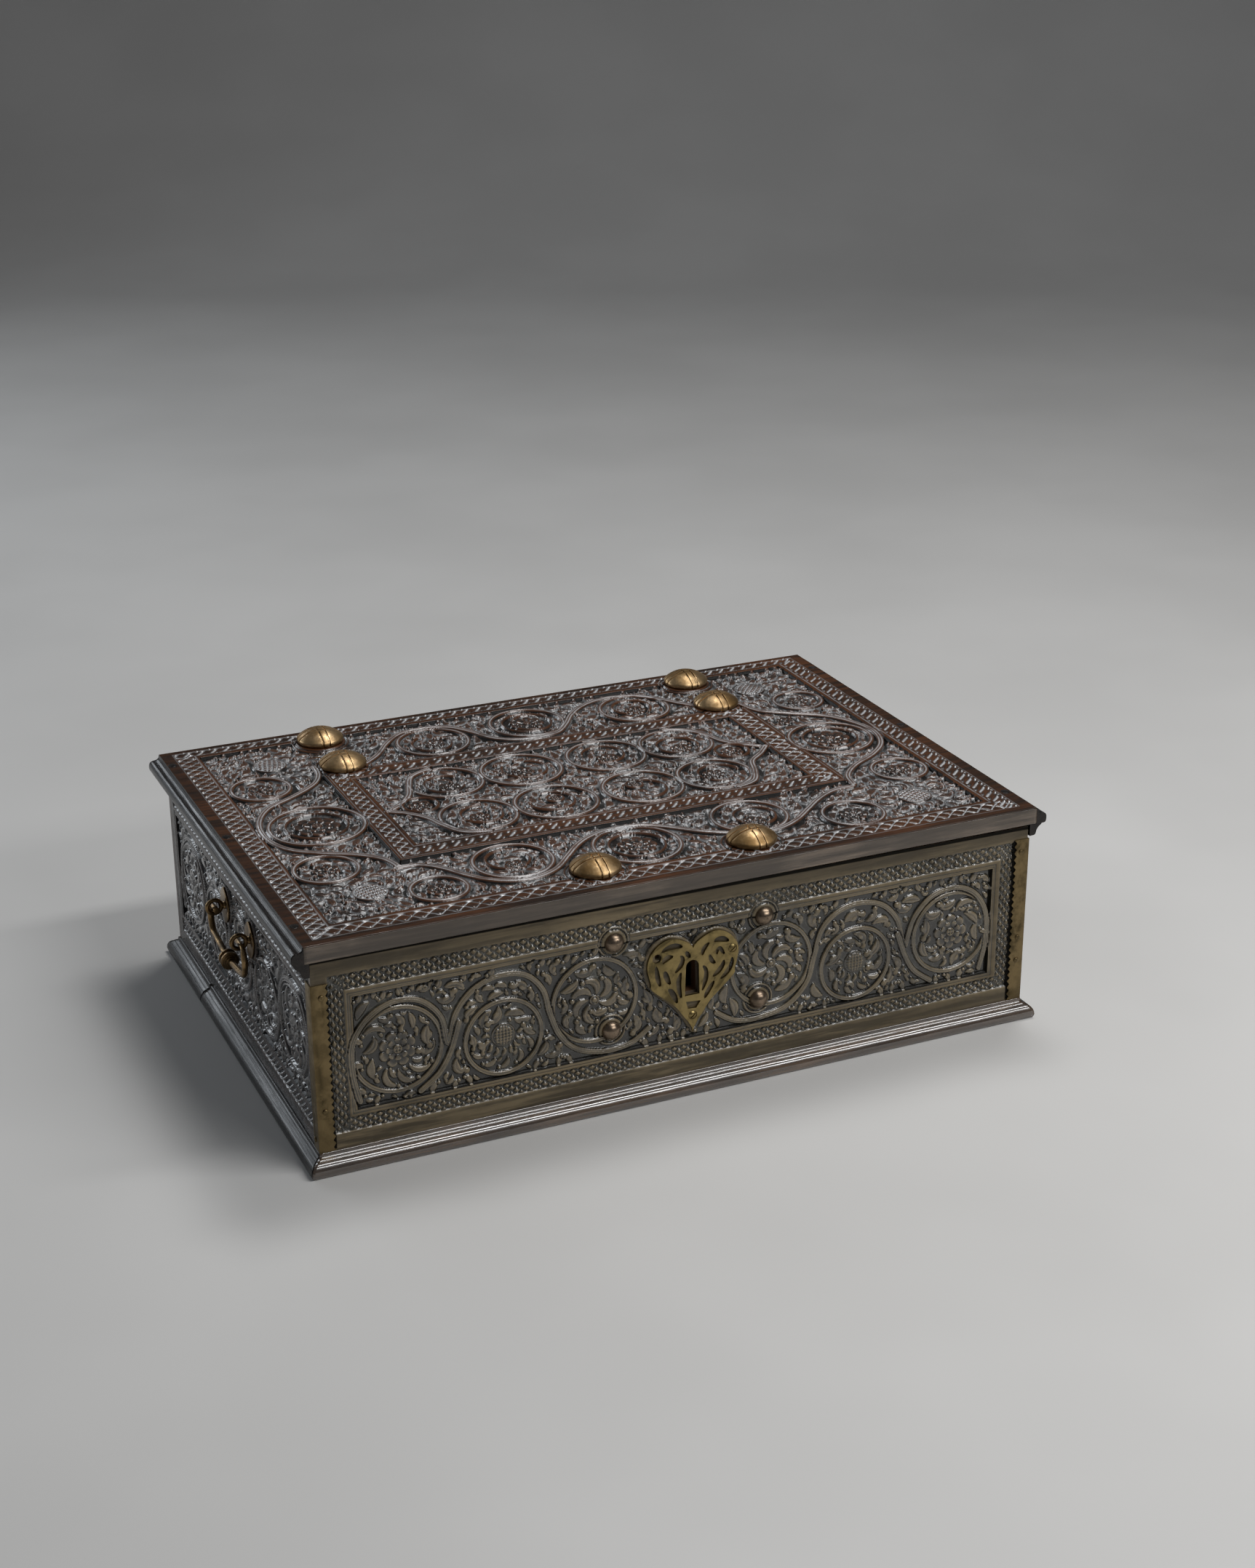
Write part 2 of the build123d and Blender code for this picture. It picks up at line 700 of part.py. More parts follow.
with BuildPart() as hinge_pins:
    for x in hinge_xs:
        with Locations(Location((x, hinge_axis_y, hinge_axis_z), (0, 90, 0))):
            Cylinder(pin_radius, strap_width + 1.2)
            for side in (-1, 1):
                with Locations((0, 0, side * (strap_width / 2 + 0.6))):
                    Cylinder(2.3, 1.0)
named(hinge_pins.part, "hinge_pins")

case_rivet = nail(nail_head_radius, 4.4, 1.9, panel_thickness + strap_thickness + 1.2, 3.6)
with BuildPart() as hinge_case_rivets:
    with Locations(back_face.offset(strap_thickness)):
        with Locations(*[(-x, z, 0) for x in hinge_xs for z in case_rivet_zs]):
            add(case_rivet)
named(hinge_case_rivets.part, "hinge_case_rivets")

# Lock catch: a plate under the lid with a staple that drops into the lock
catch_plate_x = (-66.0, 70.0)
catch_plate_y = (-147.0, -118.0)
with BuildPart() as catch_plate:
    with BuildSketch(Plane.XY.offset(lid_bottom)):
        with Locations((sum(catch_plate_x) / 2, sum(catch_plate_y) / 2)):
            RectangleRounded(
                catch_plate_x[1] - catch_plate_x[0], catch_plate_y[1] - catch_plate_y[0], 6
            )
        with Locations(*catch_places):
            Circle(shank_radius + shank_clearance, mode=Mode.SUBTRACT)
    extrude(amount=-strap_thickness)
named(catch_plate.part, "catch_plate")

staple_bottom_z = 100.5
staple_half = 4.3
with BuildPart() as catch_staple:
    with BuildSketch(Plane.YZ.offset(staple_x - 2)):
        staple_top = lid_bottom - strap_thickness
        with Locations((staple_y, (staple_top + staple_bottom_z) / 2)):
            Rectangle(2 * staple_half, staple_top - staple_bottom_z)
        with Locations((staple_y, bolt_bottom_z + bolt_height / 2)):
            Rectangle(bolt_thickness + 0.8, bolt_height + 1.2, mode=Mode.SUBTRACT)
    extrude(amount=4)
    fillet(catch_staple.edges().filter_by(Axis.X).group_by(Axis.Z)[0], 2.2)
named(catch_staple.part, "catch_staple")

# Lock plate with its bolt guides, on the inside of the front panel
plate_inner = front_face.offset(-panel_thickness)
guide_xs = (-28.0, 5.0, 19.5)
guide_width = 4.0
with BuildPart() as lock_plate:
    with BuildSketch(plate_inner):
        with Locations((0, 84.5)):
            RectangleRounded(122, 83, 4)
        with Locations((keyhole_x, 0)):
            add(make_face(keyhole_outline().edges(), mode=Mode.PRIVATE), mode=Mode.SUBTRACT)
        with Locations(*lock_nail_places):
            Circle(1.9 + shank_clearance, mode=Mode.SUBTRACT)
    extrude(amount=-lock_plate_thickness)
    plate_y = -half_d + panel_thickness + lock_plate_thickness
    bolt_z = bolt_bottom_z + bolt_height / 2
    for x in guide_xs:
        with Locations((x, plate_y, bolt_z)):
            Box(guide_width, 10.2, 15, align=(Align.CENTER, Align.MIN, Align.CENTER))
        with Locations((x, staple_y, bolt_z)):
            Box(guide_width, bolt_thickness + 0.6, bolt_height + 0.6, mode=Mode.SUBTRACT)
    # The middle guide is open below, so that the bolt's talon can pass
    with Locations((guide_xs[1], staple_y, bolt_z - 5)):
        Box(guide_width, bolt_thickness + 0.6, 6, mode=Mode.SUBTRACT)
named(lock_plate.part, "lock_plate")

# Lock case: a shallow cap over the works, slotted at the top for the staple
case_x = (-42.0, 28.0)
case_z = (58.0, 124.0)
with BuildPart() as lock_case:
    with BuildSketch(plate_inner.offset(-lock_plate_thickness)):
        with Locations((sum(case_x) / 2, sum(case_z) / 2)):
            Rectangle(case_x[1] - case_x[0], case_z[1] - case_z[0])
    extrude(amount=-lock_case_depth)
    open_side = lock_case.faces().sort_by(Axis.Y)[0]
    offset(amount=-lock_wall, openings=open_side)
    with Locations((staple_x, staple_y, case_z[1])):
        Box(7, 13.0, 6, mode=Mode.SUBTRACT)
named(lock_case.part, "lock_case")

# Lock bolt: a bar with a notched talon for the key
bolt_x = (-39.0, 9.0)
with BuildPart() as lock_bolt:
    with BuildSketch(Plane.XZ.offset(-staple_y)):
        with Locations((sum(bolt_x) / 2, bolt_bottom_z + bolt_height / 2)):
            Rectangle(bolt_x[1] - bolt_x[0], bolt_height)
        with Locations((-12.0, bolt_bottom_z)):
            Rectangle(22, 14)
        with Locations((-9.0, bolt_bottom_z - 7)):
            Rectangle(9, 9, mode=Mode.SUBTRACT)
    extrude(amount=bolt_thickness / 2, both=True)
named(lock_bolt.part, "lock_bolt")

# Bolt spring: a bowed leaf over the bolt, its ends under the lock case's top
with BuildPart() as lock_spring:
    with BuildSketch(Plane.XZ.offset(-staple_y)):
        with BuildLine():
            ThreePointArc((-24.0, 121.6), (-10.8, 115.0), (2.4, 121.6))
            Line((2.4, 121.6), (2.4, 121.0))
            ThreePointArc((2.4, 121.0), (-10.8, 114.4), (-24.0, 121.0))
            Line((-24.0, 121.0), (-24.0, 121.6))
        make_face()
    extrude(amount=2.0, both=True)
named(lock_spring.part, "lock_spring")

lock_nail = nail(
    nail_head_radius, 4.6, 1.9, panel_thickness + lock_plate_thickness + 1.2, 3.6
)
with BuildPart() as lock_nails:
    with Locations(front_face):
        with Locations(*[(x, z, 0) for x, z in lock_nail_places]):
            add(lock_nail)
named(lock_nails.part, "lock_nails")

# Escutcheon screws: slotted heads in the brass, shanks in the wood
with BuildPart() as screw:
    with BuildSketch(Plane.XZ):
        with BuildLine():
            Line((0, -8), (1.5, -8))
            Line((1.5, -8), (1.5, 0))
            Line((1.5, 0), (2.8, 0))
            Line((2.8, 0), (2.8, 1.3))
            ThreePointArc((2.8, 1.3), (1.6, 2.2), (0, 2.5))
            Line((0, 2.5), (0, -8))
        make_face()
    revolve(axis=Axis.Z)
    with Locations((0, 0, 2.2)):
        Box(7, 0.8, 1.4, mode=Mode.SUBTRACT)
with BuildPart() as escutcheon_screws:
    with Locations(heart_face):
        with Locations(*[Location((x, z, 0), (0, 0, 40)) for x, z in screw_places]):
            add(screw.part)
named(escutcheon_screws.part, "escutcheon_screws")

# Corner strips: brass angles whose front edge is cut in teeth
for side_name, side in (("left", -1), ("right", 1)):
    outer_x = side * (half_w + strip_thickness)
    inner_x = side * (half_w - strip_width)
    height = strip_tops[side_name] - strip_bottom
    teeth = round(height / tooth_pitch)
    pitch = height / teeth
    with BuildPart() as strip:
        with BuildSketch(front_face):
            with BuildLine():
                Line((inner_x, strip_bottom), (outer_x, strip_bottom))
                Line((outer_x, strip_bottom), (outer_x, strip_bottom + height))
                Line((outer_x, strip_bottom + height), (inner_x, strip_bottom + height))
                for k in range(teeth):
                    z = strip_bottom + k * pitch
                    tip = (inner_x + side * tooth_depth, z + pitch / 2)
                    Line((inner_x, z), tip)
                    Line(tip, (inner_x, z + pitch))
            make_face()
            with Locations(*strip_nails[side_name]):
                Circle(nail_hole_radius, mode=Mode.SUBTRACT)
        extrude(amount=strip_thickness, dir=(0, -1, 0))
        with Locations((outer_x, -half_d - strip_thickness, strip_bottom)):
            Box(
                strip_thickness,
                strip_side_width + strip_thickness,
                height,
                align=(Align.MIN if side < 0 else Align.MAX, Align.MIN, Align.MIN),
            )
        with Locations(Location((outer_x, side_nail_y, side_nail_z), (0, 90, 0))):
            Cylinder(nail_hole_radius, 4, mode=Mode.SUBTRACT)
    named(strip.part, f"corner_strip_{side_name}")

strip_nail = nail(1.8, 0.9, 0.8, strip_thickness + 3.0)
side_nail = nail(1.8, 0.9, 0.8, strip_thickness + 5.0)
with BuildPart() as corner_strip_nails:
    with Locations(front_face.offset(strip_thickness)):
        with Locations(*[(x, z, 0) for x, z in strip_nails["left"] + strip_nails["right"]]):
            add(strip_nail)
    for face in (left_face, right_face):
        with Locations(face.offset(strip_thickness)):
            with Locations((face.x_dir.Y * side_nail_y, side_nail_z, 0)):
                add(side_nail)
named(corner_strip_nails.part, "corner_strip_nails")

# Handles: pointed oval plates, eye bolts clenched inside, and a bail with a turned collar
bail_path_points = (
    (-22.8, 0),
    (-36.8, 0),
    (-39.5, -9.5),
    (-36.0, -19.0),
    (0, -bail_drop),
    (36.0, -19.0),
    (39.5, -9.5),
    (36.8, 0),
    (22.8, 0),
)
bail_path_radii = (5, 10, 7, 60, 7, 10, 5)
collar_drop = bail_drop - 0.6

for side_name, face, centre in (
    ("left", left_face, -handle_centre_y),
    ("right", right_face, handle_centre_y),
):
    eyes = [(centre + side * eye_y, eye_z) for side in (-1, 1)]
    with BuildPart() as plates:
        with BuildSketch(face):
            with Locations(*eyes):
                add(make_face(plate_outline().edges(), mode=Mode.PRIVATE))
                Circle(eye_shank_radius + shank_clearance, mode=Mode.SUBTRACT)
        extrude(amount=handle_plate_thickness)
    named(plates.part, f"handle_plates_{side_name}")

    with BuildPart() as eye_bolts:
        with Locations(face):
            for x, z in eyes:
                with Locations((x, z, eye_stand_off)):
                    Torus(eye_ring_radius, eye_wire_radius, rotation=(0, 90, 0))
                shank_top = eye_stand_off - eye_ring_radius
                shank_length = shank_top + panel_thickness + 1.2
                with Locations((x, z, shank_top - shank_length / 2)):
                    Cylinder(eye_shank_radius, shank_length)
                with Locations((x, z, -panel_thickness - 0.6)):
                    Box(3.2, 13, 1.2)
    named(eye_bolts.part, f"handle_eyes_{side_name}")

    bail_plane = Plane(
        origin=face.from_local_coords((centre, eye_z - bail_seat, eye_stand_off)),
        x_dir=face.x_dir,
        z_dir=face.z_dir,
    )
    with BuildPart() as bail:
        with BuildLine(bail_plane):
            path = FilletPolyline(*bail_path_points, radius=bail_path_radii)
        with BuildSketch(Plane(path @ 0, z_dir=path % 0)):
            Circle(bail_radius)
        sweep(path=path)
        with Locations(bail_plane):
            with Locations(Location((0, -collar_drop, 0), (0, 90, 0))):
                Cylinder(3.2, 10.4)
                Cylinder(4.1, 7.6)
                with Locations((0, 0, -2.3), (0, 0, 2.3)):
                    Cylinder(5.8, 1.6)
    named(bail.part, f"handle_bail_{side_name}")
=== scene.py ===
import json
import math
import bmesh
import bpy
import numpy as np
from mathutils import Matrix, Vector

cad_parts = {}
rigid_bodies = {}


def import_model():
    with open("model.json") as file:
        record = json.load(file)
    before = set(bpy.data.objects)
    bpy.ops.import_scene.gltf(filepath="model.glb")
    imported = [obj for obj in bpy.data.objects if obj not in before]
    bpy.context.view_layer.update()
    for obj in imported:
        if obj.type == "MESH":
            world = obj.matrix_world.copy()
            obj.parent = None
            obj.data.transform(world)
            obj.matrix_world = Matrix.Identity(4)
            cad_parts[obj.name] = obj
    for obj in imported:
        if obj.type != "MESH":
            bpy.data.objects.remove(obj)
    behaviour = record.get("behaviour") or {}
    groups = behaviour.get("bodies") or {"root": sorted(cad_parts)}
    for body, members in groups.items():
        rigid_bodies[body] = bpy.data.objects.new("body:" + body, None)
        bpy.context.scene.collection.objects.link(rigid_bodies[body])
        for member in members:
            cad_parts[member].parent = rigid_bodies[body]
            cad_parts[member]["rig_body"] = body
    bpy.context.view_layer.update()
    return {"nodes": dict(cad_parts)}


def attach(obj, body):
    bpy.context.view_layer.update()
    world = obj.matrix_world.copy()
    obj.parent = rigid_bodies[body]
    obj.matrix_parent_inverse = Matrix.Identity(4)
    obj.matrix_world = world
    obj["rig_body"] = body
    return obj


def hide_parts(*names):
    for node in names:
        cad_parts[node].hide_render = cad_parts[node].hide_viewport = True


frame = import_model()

MM = 0.001

# Sizes shared with the CAD model, in millimetres
CASE_W, CASE_D = 472.5, 318.0
HALF_W, HALF_D = CASE_W / 2, CASE_D / 2
PANEL_BASE, CASE_TOP = 10.0, 135.9
FRONT_TOP_LEFT, FRONT_TOP_RIGHT = 135.6, 133.6
LEFT_JOINT_Y = 78.0
LID_W, LID_D = 480.0, 324.0
LID_FRONT, LID_BACK = -162.2, 161.8
LID_BOTTOM, LID_TOP = 136.0, 146.8
HINGE_XS, HINGE_YS = (-134.3, 139.0), (141.4, 92.0)
CATCH_XS, CATCH_Y = (-50.0, 54.0), -132.4
LOCK_NAILS = ((-49.8, 110.0), (-52.2, 52.2), (49.8, 108.0), (46.7, 52.2))
HEART_X, KEYHOLE_X, KEYHOLE_Z = 1.4, 0.8, 84.7
EMPTY_X, EMPTY_Z = HEART_X - 22.7, 94.5  # the screw hole that has lost its screw
EYE_Y, EYE_Z, HANDLE_Y = 27.8, 94.0, -4.0
EYE_X, BAIL_Z = HALF_W + 7.3, 93.55


def unit(x):
    """Limits x to between 0 and 1."""
    return np.clip(x, 0, 1)


def bell(x):
    """1 at 0, falling smoothly to both sides."""
    return np.exp(-(x**2))


def vee(d, half):
    """A groove's section: 1 at its middle, 0 from half away."""
    return unit(1 - np.abs(d) / half)


def from_edge(X, Y, xa, ya, xb, yb):
    """Distance inwards from the sides of a rectangle."""
    return np.minimum(np.minimum(X - xa, xb - X), np.minimum(Y - ya, yb - Y))


def noise_map(shape, cell, seed):
    """Smooth noise between -1 and 1, with features about cell grid steps wide."""
    ny, nx = shape
    g = np.random.default_rng(seed).uniform(-1, 1, (int(ny / cell) + 3, int(nx / cell) + 3))
    y, x = np.arange(ny) / cell, np.arange(nx) / cell
    yi, xi = y.astype(int), x.astype(int)
    fy, fx = y - yi, x - xi
    fy, fx = fy * fy * (3 - 2 * fy), fx * fx * (3 - 2 * fx)
    a = g[np.ix_(yi, xi)] * (1 - fx) + g[np.ix_(yi, xi + 1)] * fx
    b = g[np.ix_(yi + 1, xi)] * (1 - fx) + g[np.ix_(yi + 1, xi + 1)] * fx
    return a * (1 - fy)[:, None] + b * fy[:, None]


def blur(a, n):
    """Box blur, n grid steps each way, run twice."""
    for axis in (0, 1, 0, 1):
        pad = [(0, 0), (0, 0)]
        pad[axis] = (n + 1, n)
        c = np.cumsum(np.pad(a, pad, mode="edge"), axis=axis)
        hi = np.take(c, np.arange(2 * n + 1, c.shape[axis]), axis=axis)
        lo = np.take(c, np.arange(0, c.shape[axis] - 2 * n - 1), axis=axis)
        a = (hi - lo) / (2 * n + 1)
    return a


def curve(points, per=9):
    """A smooth curve through the given points."""
    p = np.array(points, float)
    out = []
    for i in range(len(p) - 1):
        q = [p[max(i - 1, 0)], p[i], p[i + 1], p[min(i + 2, len(p) - 1)]]
        for k in range(per):
            t = k / per
            out.append(0.5 * (2 * q[1] + (q[2] - q[0]) * t
                              + (2 * q[0] - 5 * q[1] + 4 * q[2] - q[3]) * t**2
                              + (3 * q[1] - q[0] - 3 * q[2] + q[3]) * t**3))
    out.append(p[-1])
    return np.array(out)


def circle(cx, cy, r, start=0.0, turn=360.0, shrink=0.0):
    """An arc from start through turn degrees; shrink winds it inwards."""
    t = np.linspace(0, 1, 48)
    a = np.radians(start + turn * t)
    rr = r * (1 - shrink * t)
    return np.stack([cx + rr * np.cos(a), cy + rr * np.sin(a)], 1)


class Relief:
    """A carved surface as heights in millimetres over a flat face; 0 is the board's own face.
    busy says where no leaf may grow. tone above 0 paints pale waxy deposit with painted glints; below 0 it paints
    black shade."""

    def __init__(self, x0, y0, x1, y1, ground, step):
        self.x0, self.y0, self.x1, self.y1, self.ground = x0, y0, x1, y1, ground
        self.nx = int(round((x1 - x0) / step)) + 1
        self.ny = int(round((y1 - y0) / step)) + 1
        self.dx = (x1 - x0) / (self.nx - 1)
        self.dy = (y1 - y0) / (self.ny - 1)
        self.xs = np.linspace(x0, x1, self.nx)
        self.ys = np.linspace(y0, y1, self.ny)
        self.h = np.zeros((self.ny, self.nx))
        self.busy = np.ones((self.ny, self.nx), bool)
        self.tone = np.zeros((self.ny, self.nx))
        self.centres = []

    def window(self, xa, ya, xb, yb):
        """The part of the grid that holds a rectangle, and its points."""
        i0 = min(max(int((xa - self.x0) / self.dx), 0), self.nx - 1)
        i1 = min(max(int((xb - self.x0) / self.dx) + 2, i0 + 1), self.nx)
        j0 = min(max(int((ya - self.y0) / self.dy), 0), self.ny - 1)
        j1 = min(max(int((yb - self.y0) / self.dy) + 2, j0 + 1), self.ny)
        X, Y = np.meshgrid(self.xs[i0:i1], self.ys[j0:j1])
        return (slice(j0, j1), slice(i0, i1)), X, Y

    def carve(self, w, where, height):
        self.h[w] = np.where(where, height, self.h[w])

    def wax_and_glint(self, w, where, tone):
        self.tone[w] = np.where(where, np.maximum(self.tone[w], tone), self.tone[w])

    def sink(self, xa, ya, xb, yb):
        """Sinks a rectangle to the ground, with sloping walls, and frees it for carving."""
        w, X, Y = self.window(xa, ya, xb, yb)
        edge = from_edge(X, Y, xa, ya, xb, yb)
        self.h[w] = np.minimum(self.h[w], self.ground * unit(edge / 0.4))
        # Painted shade: the walls' tone is set black.
        self.tone[w] = np.where(np.abs(edge - 0.3) < 0.75, -1.0, self.tone[w])
        self.busy[w] = edge <= 0.5

    def lift(self, xa, ya, xb, yb, wall=0.7):
        """Puts a rectangle back to the board's face, inside a sunk one."""
        w, X, Y = self.window(xa - wall, ya - wall, xb + wall, yb + wall)
        edge = from_edge(X, Y, xa, ya, xb, yb)
        up = unit(1 + edge / wall)
        self.h[w] = self.h[w] * (1 - up)
        # Painted shade: the walls' tone is set black.
        self.tone[w] = np.where(np.abs(edge + 0.3) < 0.75, -1.0, self.tone[w])
        self.busy[w] |= up > 0

    def stroke(self, pts, reach):
        """The window round a line, with the distance to the line and the place along it, 0 to 1."""
        pts = np.asarray(pts, float)
        w, X, Y = self.window(*(pts.min(0) - reach), *(pts.max(0) + reach))
        D, T = np.full(X.shape, 1e6), np.zeros(X.shape)
        corner, cell = np.array([X[0, 0], Y[0, 0]]), np.array([self.dx, self.dy])
        for k, (a, b) in enumerate(zip(pts[:-1], pts[1:])):
            i0, j0 = (max(int(v), 0) for v in (np.minimum(a, b) - reach - corner) / cell)
            i1, j1 = (int(v) + 2 for v in (np.maximum(a, b) + reach - corner) / cell)
            s = (slice(j0, j1), slice(i0, i1))
            if X[s].size == 0:
                continue
            v = b - a
            px, py = X[s] - a[0], Y[s] - a[1]
            t = unit((px * v[0] + py * v[1]) / max(v @ v, 1e-9))
            d = np.hypot(px - t * v[0], py - t * v[1])
            near = d < D[s]
            D[s] = np.where(near, d, D[s])
            T[s] = np.where(near, (k + t) / (len(pts) - 1), T[s])
        return w, D, T

    def stem(self, pts, half, lines=0, taper=0.0):
        """A rounded stem beside a cleared strip, with a line cut along its middle (1) or beside it (2)."""
        clear = 0.8
        w, D, T = self.stroke(pts, half + clear + 0.6)
        wid = half * (1 - taper * T)
        u = D / wid
        body = -0.05 - 0.35 * u**2
        if lines:
            at, soft = (D, 0.5) if lines == 1 else (D - 0.36 * wid, 0.42)
            body = body - 1.1 * bell(at / soft)
            # Pale waxy deposit with painted glints along the cut line.
            self.wax_and_glint(w, D < wid, bell(at / 0.4))
        top = self.ground + (body - self.ground) * unit((1 - u) / 0.22)
        foot = np.minimum(self.h[w], self.ground * unit((wid + clear - D) / 0.4))
        beside = np.where(D < wid + clear, foot, self.h[w])
        self.h[w] = np.where(u < 0.78, top, np.where(u < 1, np.maximum(top, self.h[w]), beside))
        self.busy[w] |= D < wid + clear

    def room(self, pts, wide):
        """Whether a leaf along a line would find free ground."""
        d = np.gradient(pts, axis=0)
        n = np.stack([-d[:, 1], d[:, 0]], 1)
        n /= np.maximum(np.linalg.norm(n, axis=1, keepdims=True), 1e-9)
        side = n * (np.sin(np.pi * np.linspace(0.06, 0.94, len(pts))) ** 0.7 * wide)[:, None]
        probe = np.concatenate([pts, pts + side, pts - side])
        i = np.clip(((probe[:, 0] - self.x0) / self.dx).round().astype(int), 0, self.nx - 1)
        j = np.clip(((probe[:, 1] - self.y0) / self.dy).round().astype(int), 0, self.ny - 1)
        return self.busy[j, i].sum() <= 1

    def leaf(self, pts, wide, top=-0.3, hollow=True, check=True):
        """A comma shaped leaf along a curved line, with a hollow blade or a vein, and pale waxy deposit with a
        painted glint at its foot.
        """
        pts = np.asarray(pts, float)
        if check and not self.room(pts, wide):
            return False
        w, D, T = self.stroke(pts, wide + 0.8)
        wid = wide * np.clip(np.sin(np.pi * unit(T * 0.86 + 0.07)), 0.05, 1) ** 0.75
        u = D / wid
        shape = np.sqrt(unit(1 - u**3))
        if hollow:
            shape = shape * (0.72 + 0.28 * unit(u) ** 2)
        else:
            shape = shape - 0.26 * bell(D / 0.45)
        shape = shape * (0.8 + 0.2 * np.sin(np.pi * T))
        # Pale waxy deposit with a painted glint at the leaf's foot, where the ground is deep.
        foot = 0.6 * bell((D - wid) / 0.36) * (self.h[w] < self.ground * 0.7)
        self.carve(w, u < 1, np.maximum(self.h[w], self.ground + (top - self.ground) * shape))
        self.wax_and_glint(w, u < 1, 0)
        self.wax_and_glint(w, foot > 0.05, foot)
        self.busy[w] |= u < 1.12
        return True

    def button(self, cx, cy, r, top=-0.2, ring=True, hatch=False, check=False):
        """A small round boss: a plain dome, or one inside a ring, hatched or not."""
        w, X, Y = self.window(cx - r - 1, cy - r - 1, cx + r + 1, cy + r + 1)
        d = np.hypot(X - cx, Y - cy)
        if check and (self.busy[w] & (d < r)).sum() > 2:
            return
        u = d / r
        dome = 1 - 0.3 * u**2
        if ring:
            dome = np.where(u > 0.62, 0.92, 0.95 - 0.5 * u**2) - 0.5 * bell((d - 0.62 * r) / 0.4)
        if hatch:
            for q in (X - cx, Y - cy):
                m = np.abs((q / 1.9) % 1 - 0.5)
                dome = dome - np.where(u < 0.66, 0.4 * unit(1 - m * 4), 0)
        self.carve(w, u < 1, self.ground + (top - self.ground) * dome * unit((1 - u) * r / 0.6))
        self.busy[w] |= d < r + 0.4

    def rosette(self, cx, cy, R, n, turn):
        """Two rings of hollow petals round a button."""
        w, X, Y = self.window(cx - R - 1, cy - R - 1, cx + R + 1, cy + R + 1)
        rho = np.hypot(X - cx, Y - cy)
        th = np.arctan2(Y - cy, X - cx)
        h = self.h[w].copy()
        for rad, t0, top in ((R, turn, -0.75), (R * 0.64, turn + 180.0 / n, -0.3)):
            phi = ((th - math.radians(t0)) * n / (2 * np.pi)) % 1 - 0.5
            edge = rad * (0.72 + 0.28 * np.sqrt(unit(1 - (2 * phi) ** 2)))
            u = rho / edge
            side = unit((0.5 - np.abs(phi)) * rho * 2 * np.pi / n / 0.8)
            shape = (0.45 + 0.5 * np.maximum(u**2, 1 - side)) * (0.3 + 0.7 * side)
            shape = np.maximum(shape, (0.5 + 0.5 * (np.abs(phi) * 2) ** 2) * side)
            petal = self.ground + (top - self.ground) * shape * unit((edge - rho) / 0.55)
            h = np.where(u < 1, np.maximum(petal, np.where(u < 0.85, -9, h)), h)
        self.h[w] = h
        self.busy[w] |= rho < R + 0.3
        self.button(cx, cy, R * 0.27, top=-0.15, ring=False, hatch=True)

    def pod(self, cx, cy, r, angle):
        """A fruit cut with a grid, and its crown of flame shaped leaves."""
        a = math.radians(angle)
        ux, uy = math.cos(a), math.sin(a)
        w, X, Y = self.window(cx - r * 1.4, cy - r * 1.4, cx + r * 1.4, cy + r * 1.4)
        lx = (X - cx) * ux + (Y - cy) * uy
        ly = -(X - cx) * uy + (Y - cy) * ux
        u = np.hypot(lx, ly) / r
        long_rib = np.abs((ly / (r * 0.26 * (1.1 - 0.3 * (lx / r) ** 2))) % 1 - 0.5)
        cross_rib = np.abs((lx / (r * 0.26)) % 1 - 0.5)
        dome = 0.96 - 0.25 * u**2
        for rib, deep in ((long_rib, 0.35), (cross_rib, 0.3)):
            dome = dome - deep * unit(1 - rib * 4) * (u < 0.82)
        dome = dome - 0.5 * bell((u - 0.86) * r / 0.45)
        self.carve(w, u < 1, self.ground + (-0.2 - self.ground) * dome * unit((1 - u) * r / 0.6))
        grid = np.maximum(unit(1 - long_rib * 5), unit(1 - cross_rib * 5))
        # Pale waxy deposit with painted glints in the grid and round the fruit's rim.
        self.wax_and_glint(w, u < 1, np.where(u < 0.84, grid, bell((u - 0.86) * r / 0.4)))
        self.busy[w] |= u < 1.08
        for k in range(-4, 5):
            b = a + math.radians(k * 24)
            d = np.array([math.cos(b), math.sin(b)])
            n = np.array([-d[1], d[0]])
            foot = np.array([cx + (r + 0.9) * math.cos(b), cy + (r + 0.9) * math.sin(b)])
            reach = r * (0.75 - 0.03 * abs(k))
            self.leaf([foot + d * reach * t + n * 0.8 * math.sin(t * 5 + k) for t in np.linspace(0, 1, 7)],
                      1.25, hollow=False)

    def swirl(self, cx, cy, r0, r1, n, way, wide, start=0.0):
        """A wreath of bent leaves between two circles, each with a bead at its tip."""
        t = np.linspace(0, 1, 8)
        for k in range(n):
            a = math.radians(start) + 2 * math.pi * k / n
            rad = r0 + (r1 - r0) * np.sin(t * math.pi / 2 * 0.96)
            ang = a + way * t**1.7 * 1.25 * (r1 - r0) / r1
            pts = np.stack([cx + rad * np.cos(ang), cy + rad * np.sin(ang)], 1)
            if self.leaf(pts, wide, hollow=k % 3 != 1):
                self.button(*pts[-1], wide * 0.72, top=-0.3, ring=False)

    def taken(self, point):
        i = int(round((point[0] - self.x0) / self.dx))
        j = int(round((point[1] - self.y0) / self.dy))
        return self.busy[j, i]

